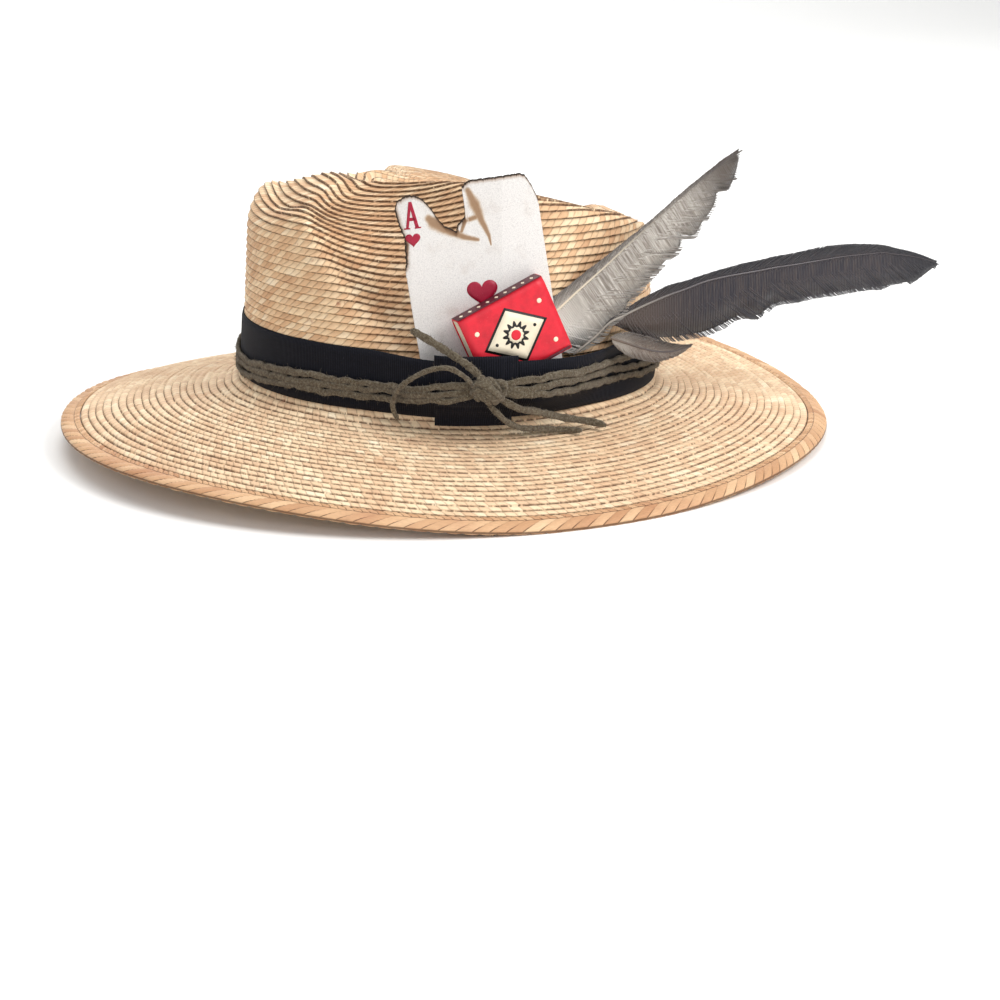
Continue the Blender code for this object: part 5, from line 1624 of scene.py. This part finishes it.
def feather_vane(which, table, seed, splits, droop, loose):
    """Vane of separate barbs on both sides of the shaft, over a thin closed web of half their reach.

    A barb leaves the shaft slanting forward and bends towards the tip; it is a thin prism of seven rings.
    Near a split the barbs lean apart; loose is how far single barbs stray.
    """
    root, along, across, out, length, width = feather_frame(which)
    chance = np.random.default_rng(seed)
    first = table[1][0]
    count = int((0.992 - first) * length / sizes().barb_gap)
    skin = Skin()
    marks = []
    t = np.linspace(0, 1, 7)[None]
    for side, column, lean in ((1.0, 2, 1.9), (-1.0, 3, 0.95)):
        share = np.linspace(first, 0.992, count) + 0.3 / count * (chance.random(count) - 0.5)
        reach = np.maximum(smooth_through(table, share, column), 0.03) * width
        forward = lean * reach / length * (0.99 + 0.02 * chance.random(count))
        tip_share = np.minimum(share + forward, 1.0)
        reach = np.maximum(smooth_through(table, tip_share, column), 0.035) * width
        clump = 0.014 * drift(share, seed + 3 + column, 9, 9.0)
        clump = clump + 0.008 * drift(share, seed + 5 + column, 9, 31.0)
        reach = reach * (1 + clump + loose * (chance.random(count) - 0.6))
        stray = loose * 0.004 * (chance.random(count) - 0.5)
        shift = 0.0003 * drift(share, seed + 8 + column, 9, 11.0) + stray
        for split_side, place, opening in splits:
            if split_side == side:
                near = share - place
                shift = shift + opening * np.sign(near) * np.exp(-np.abs(near) / 0.030)
        way = share[:, None] * length + (forward * length)[:, None] * t ** 1.15 + shift[:, None] * t ** 1.6
        off = side * reach[:, None] * (1.12 * t - 0.12 * t ** 2)
        shaft_rise = smooth_through(table, np.clip(way / length, 0, 1), 1) * width
        keep = smooth_through(table, share, 1)[:, None] * width
        rise = keep + (shaft_rise - keep) * 0.85
        away = droop * (off / width) ** 2 - 0.00005 * (np.arange(count) % 3)[:, None]
        away = away + 0.0004 * drift(share, seed + 12 + column, 9, 15.0)[:, None] * t ** 2
        path = root + along * way[..., None] + across * (rise + off)[..., None] + out * away[..., None]
        direction = unit(np.gradient(path, axis=1))
        flat = unit(np.cross(np.broadcast_to(out, direction.shape), direction))
        half = BARB_HALF_WIDTH * (1.05 - 0.40 * t ** 2)
        thick = BARB_HALF_THICKNESS * (1.0 - 0.5 * t)
        sections = np.stack([
            path + flat * half[..., None], path + out * thick[..., None] * 0.9,
            path - flat * half[..., None], path - out * thick[..., None] * 0.9,
        ], axis=2)
        number = share * length / BARB_PAINT
        paint = paired(number[:, None, None], side * t[..., None] + np.zeros((1, 1, 5)))
        skin.lofts(sections, paint)
        body = np.broadcast_to((way / length)[:, :, None], sections.shape[:3])
        ends = np.stack([way[:, 0], way[:, -1]], axis=1) / length
        marks += [body.ravel(), ends.ravel()]
    share = np.linspace(first, 0.985, 160)
    above = smooth_through(table, share, 2) * width * 0.92
    below = smooth_through(table, share, 3) * width * 0.92
    ring = np.array([(1, 0), (0.5, 1), (0, 1.2), (-0.5, 1), (-1, 0), (-0.5, -1), (0, -1.2), (0.5, -1)])
    wide = np.where(ring[None, :, 0] > 0, above[:, None], below[:, None]) * ring[None, :, 0]
    off = droop * (wide / width) ** 2 + 0.00005 * ring[None, :, 1] - 0.00006
    web = shaft_point(which, table, share)[:, None] + across * wide[..., None] + out * off[..., None]
    number = share * length / BARB_PAINT
    side_share = np.append(ring[:, 0], ring[0, 0]) * 0.5
    paint = paired(number[:, None], side_share[None])
    skin.lofts(web[None], paint[None])
    marks += [np.broadcast_to(share[:, None], (160, 8)).ravel(), share[[0, -1]]]
    return skin, np.concatenate(marks)


def feather_shaft(which, table):
    """Shaft: a round horn tube that thins from the quill to the tip."""
    _, _, across, out, _, _ = feather_frame(which)
    share = np.linspace(0, 0.995, 90)
    middle = shaft_point(which, table, share)
    radius = QUILL / 2 * (1.0 - 0.86 * share ** 0.8) * np.clip(share / 0.01 + 0.3, 0, 1)
    t = np.linspace(0, TURN, 12, endpoint=False)[None]
    sections = middle[:, None] + across * (np.cos(t) * radius[:, None])[..., None]
    sections = sections + out * (np.sin(t) * radius[:, None] * 0.9 + 0.00008)[..., None]
    paint = paired(share[:, None], np.linspace(0, 1, 13)[None])
    skin = Skin()
    skin.lofts(sections[None], paint[None])
    return skin


def studio():
    """Floor that runs back and sweeps up into a plain backdrop, as one grid."""
    across = np.linspace(-4.0, 4.0, 41)[:, None]
    t = np.linspace(0, 1, 60)[None]
    flat = np.clip(t / 0.55, 0, 1)
    turn = np.clip((t - 0.55) / 0.2, 0, 1) * math.pi / 2
    rise = np.clip((t - 0.75) / 0.25, 0, 1)
    y = -3.5 + 5.0 * flat + 0.9 * np.sin(turn)
    z = 0.9 * (1 - np.cos(turn)) + 2.6 * rise
    points = paired(across, y, z)
    skin = Skin()
    skin.grid(points, points[..., :2] * 0.5)
    return skin


class HatOperator:
    """Shared start of the hat's operators."""

    bl_options = {"REGISTER", "UNDO"}

    @classmethod
    def poll(cls, context):
        return context.scene is not None


class HAT_OT_stage(HatOperator, bpy.types.Operator):
    """Set the pale floor and backdrop, the soft lights and the camera"""

    bl_idname = "hat.stage"
    bl_label = "Stage"

    def execute(self, context):
        paint = colours()
        material, graph, shader, _, place = finish("studio paper", 0.9, specular=0.1)
        cloud = graph.noise(place, 3.0, 2.0)
        colour = graph.mix(graph.times(cloud, 0.04), paint["floor"], (0.80, 0.80, 0.80))
        graph.put(shader.inputs["Base Color"], colour)
        mesh_skin = studio()
        points = np.concatenate(mesh_skin.points)
        mesh = bpy.data.meshes.new("studio")
        faces = np.concatenate(mesh_skin.corners).reshape(-1, 4)
        mesh.from_pydata(points.tolist(), [], faces.tolist())
        mesh.shade_smooth()
        mesh.materials.append(material)
        floor = bpy.data.objects.new("studio", mesh)
        context.scene.collection.objects.link(floor)
        for name, place, size, power in LIGHTS:
            light = bpy.data.lights.new(name, "AREA")
            light.shape = "DISK"
            light.size = size
            light.energy = power
            lamp = bpy.data.objects.new(name, light)
            lamp.location = place
            aim = Vector(LIGHT_TARGET) - Vector(place)
            lamp.rotation_euler = aim.to_track_quat("-Z", "Y").to_euler()
            context.scene.collection.objects.link(lamp)
        world = bpy.data.worlds.new("studio air")
        world.use_nodes = True
        air = world.node_tree.nodes["Background"]
        air.inputs[0].default_value = AIR_COLOUR
        air.inputs[1].default_value = AIR_STRENGTH
        context.scene.world = world
        yaw, pitch, roll = CAMERA_TURNS
        level = math.cos(pitch)
        forward = Vector((-math.sin(yaw) * level, math.cos(yaw) * level, -math.sin(pitch)))
        right = Vector((math.cos(yaw), math.sin(yaw), 0.0))
        up = right.cross(forward)
        side = right * math.cos(roll) + up * math.sin(roll)
        head = up * math.cos(roll) - right * math.sin(roll)
        view = Matrix((side, head, -forward)).transposed().to_4x4()
        view.translation = Vector(CAMERA_PLACE)
        lens = bpy.data.cameras.new("camera")
        lens.lens = CAMERA_LENS
        lens.sensor_width = 36.0
        camera = bpy.data.objects.new("camera", lens)
        camera.matrix_world = view
        context.scene.collection.objects.link(camera)
        context.scene.camera = camera
        context.scene.view_settings.view_transform = "Standard"
        return {"FINISHED"}


class HAT_OT_straw(HatOperator, bpy.types.Operator):
    """Sew the crown, the brim and the plait round the brim's edge"""

    bl_idname = "hat.straw"
    bl_label = "Straw"

    def execute(self, context):
        paint = colours()
        crown_straw = straw_material("crown straw", paint, 0.05, 0.20, -0.85, 0.66, 0.0004)
        crown = sewn_crown().build("crown_plait", crown_straw, "palm_straw")
        brim_straw = straw_material("brim straw", paint, 0.30, 0.24, 0.55, 0.80, 0.0004)
        brim = sewn_brim().build("brim_plait", brim_straw, "palm_straw")
        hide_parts("straw_body")
        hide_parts("straw_body")
        edge = edge_braid().build("edge_braid", edge_material(paint), "edge_straw")
        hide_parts("edge_plait")
        return {"FINISHED"}


class HAT_OT_ribbon(HatOperator, bpy.types.Operator):
    """Lay the black ribbon round the crown and fold its flat bow"""

    bl_idname = "hat.ribbon"
    bl_label = "Ribbon and bow"

    def execute(self, context):
        cloth = ribbon_material(colours())
        skin, length = ribbon_band()
        band = skin.build("ribbon", cloth, "black_ribbon")
        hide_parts("hat_band")
        bow = flat_bow().build("bow", cloth, "black_ribbon")
        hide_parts("ribbon_bow")
        return {"FINISHED"}


class HAT_OT_laces(HatOperator, bpy.types.Operator):
    """Wrap the three suede laces, knot them and let their ends hang"""

    bl_idname = "hat.laces"
    bl_label = "Suede laces"

    def execute(self, context):
        leather = suede_material(colours())
        surfaces = []
        for row, name in enumerate(("lace_wrap_top", "lace_wrap_middle", "lace_wrap_low")):
            skin = Skin()
            path, out = wrap_path(row, sizes().lace_thickness)
            thickness = sizes().lace_thickness
            surface = lace_strap(skin, path, out, sizes().lace_width, thickness, 200 + 7 * row)
            surfaces.append(surface)
            strand = skin.build(name.replace("wrap", "strand"), leather, "suede")
            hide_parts(name)
        knot = lace_knot().build("suede_knot", leather, "suede")
        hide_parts("lace_knot")
        for index, (name, width, points) in enumerate(LACE_TAILS):
            path, length = smooth_route(points, 46)
            out = unit(path * np.array([1.0, 1.0, 0.0]))
            skin = Skin()
            thickness = min(sizes().lace_thickness, width * 0.68)
            surface = lace_strap(skin, path, out, width, thickness, 260 + 5 * index)
            surfaces.append(surface)
            tail = skin.build(name.replace("lace", "suede"), leather, "suede")
            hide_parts(name)
        nap_fibres(surfaces, NAP_FIBRES).build("suede_nap", leather, "suede")
        return {"FINISHED"}


class HAT_OT_card(HatOperator, bpy.types.Operator):
    """Tuck in the burned playing card and print its pips"""

    bl_idname = "hat.card"
    bl_label = "Burned card"

    def execute(self, context):
        paint = colours()
        card = burned_card().build("card", card_material(paint), "card_paper")
        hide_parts("playing_card")
        card_pips().build("card_print", print_material("card ink", paint["card_ink"]), "card_paper")
        return {"FINISHED"}


class HAT_OT_matchbox(HatOperator, bpy.types.Operator):
    """Make the matchbox's sleeve, print its label and finish its tray"""

    bl_idname = "hat.matchbox"
    bl_label = "Matchbox"

    def execute(self, context):
        paint = colours()
        red = print_material("sleeve red", paint["box_red"])
        sleeve = box_sleeve().build("matchbox_shell", red, "red_sleeve")
        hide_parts("matchbox_sleeve")
        for ink in ("box_dark", "box_cream", "ink", "box_red"):
            material = print_material("print " + ink, paint[ink], grain=0.06)
            box_label(ink).build("matchbox_print_" + ink, material, "red_sleeve")
        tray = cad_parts["matchbox_tray"]
        board = print_material("tray board", paint["box_cream"], roughness=0.7)
        tray.data.materials.clear()
        tray.data.materials.append(board)
        return {"FINISHED"}


class HAT_OT_feathers(HatOperator, bpy.types.Operator):
    """Set the grey, the black and the curled feather, barb by barb"""

    bl_idname = "hat.feathers"
    bl_label = "Feathers"

    def execute(self, context):
        paint = colours()
        grey = vane_material("grey vane", paint["grey_pale"], paint["grey_vane"], paint["grey_dark"],
                             paint["grey_pale"], 0.72)
        black = vane_material("black vane", paint["black_pale"], paint["black_vane"], paint["black_dark"],
                              paint["black_pale"], 0.80)
        curl = vane_material("curl vane", paint["grey_vane"], paint["curl_vane"], paint["grey_dark"],
                             paint["grey_vane"], 0.97)
        made = (
            ("grey", GREY_VANE, grey, 71, GREY_SPLITS, 0.0022, 0.012, "shaft_pale", 0.95, "grey_feather"),
            ("black", BLACK_VANE, black, 91, BLACK_SPLITS, 0.0024, 0.012, "grey_vane", 0.30, "black_feather"),
            ("curl", CURL_VANE, curl, 111, (), 0.0030, 0.10, "curl_vane", 0.60, "black_feather"),
        )
        for which, table, material, seed, splits, droop, loose, root_horn, fade, slot in made:
            skin, along = feather_vane(which, table, seed, splits, droop, loose)
            vane = skin.build(which + "_vane", material, slot, along=along)
            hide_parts("feather_" + which)
            horn = shaft_material(which + " shaft", paint[root_horn], paint["shaft_dark"], fade)
            shaft = feather_shaft(which, table).build(which + "_shaft", horn, slot)
            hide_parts("feather_" + which)
        return {"FINISHED"}


class HAT_PT_panel(bpy.types.Panel):
    """Sidebar panel with the hat's sizes, colours and steps"""

    bl_label = "Keepsake straw hat"
    bl_idname = "HAT_PT_panel"
    bl_space_type = "VIEW_3D"
    bl_region_type = "UI"
    bl_category = "Hat"

    def draw(self, context):
        layout = self.layout
        for operator in OPERATORS:
            layout.operator(operator.bl_idname)
        for group in (context.scene.hat_sizes, context.scene.hat_colours):
            box = layout.box()
            for name in group.__annotations__:
                box.prop(group, name)


OPERATORS = (
    HAT_OT_stage, HAT_OT_straw, HAT_OT_ribbon, HAT_OT_laces, HAT_OT_card, HAT_OT_matchbox, HAT_OT_feathers,
)
CLASSES = (HatSizes, HatColours, *OPERATORS, HAT_PT_panel)


def register():
    """Register the classes and hang their settings on the scene."""
    for made in CLASSES:
        bpy.utils.register_class(made)
    bpy.types.Scene.hat_sizes = bpy.props.PointerProperty(type=HatSizes)
    bpy.types.Scene.hat_colours = bpy.props.PointerProperty(type=HatColours)


def unregister():
    """Take the settings and the classes away again."""
    del bpy.types.Scene.hat_colours
    del bpy.types.Scene.hat_sizes
    for made in reversed(CLASSES):
        bpy.utils.unregister_class(made)


def main():
    """Run every step in order."""
    register()
    bpy.ops.hat.stage()
    bpy.ops.hat.straw()
    bpy.ops.hat.ribbon()
    bpy.ops.hat.laces()
    bpy.ops.hat.card()
    bpy.ops.hat.matchbox()
    bpy.ops.hat.feathers()


if __name__ == "__main__":
    main()
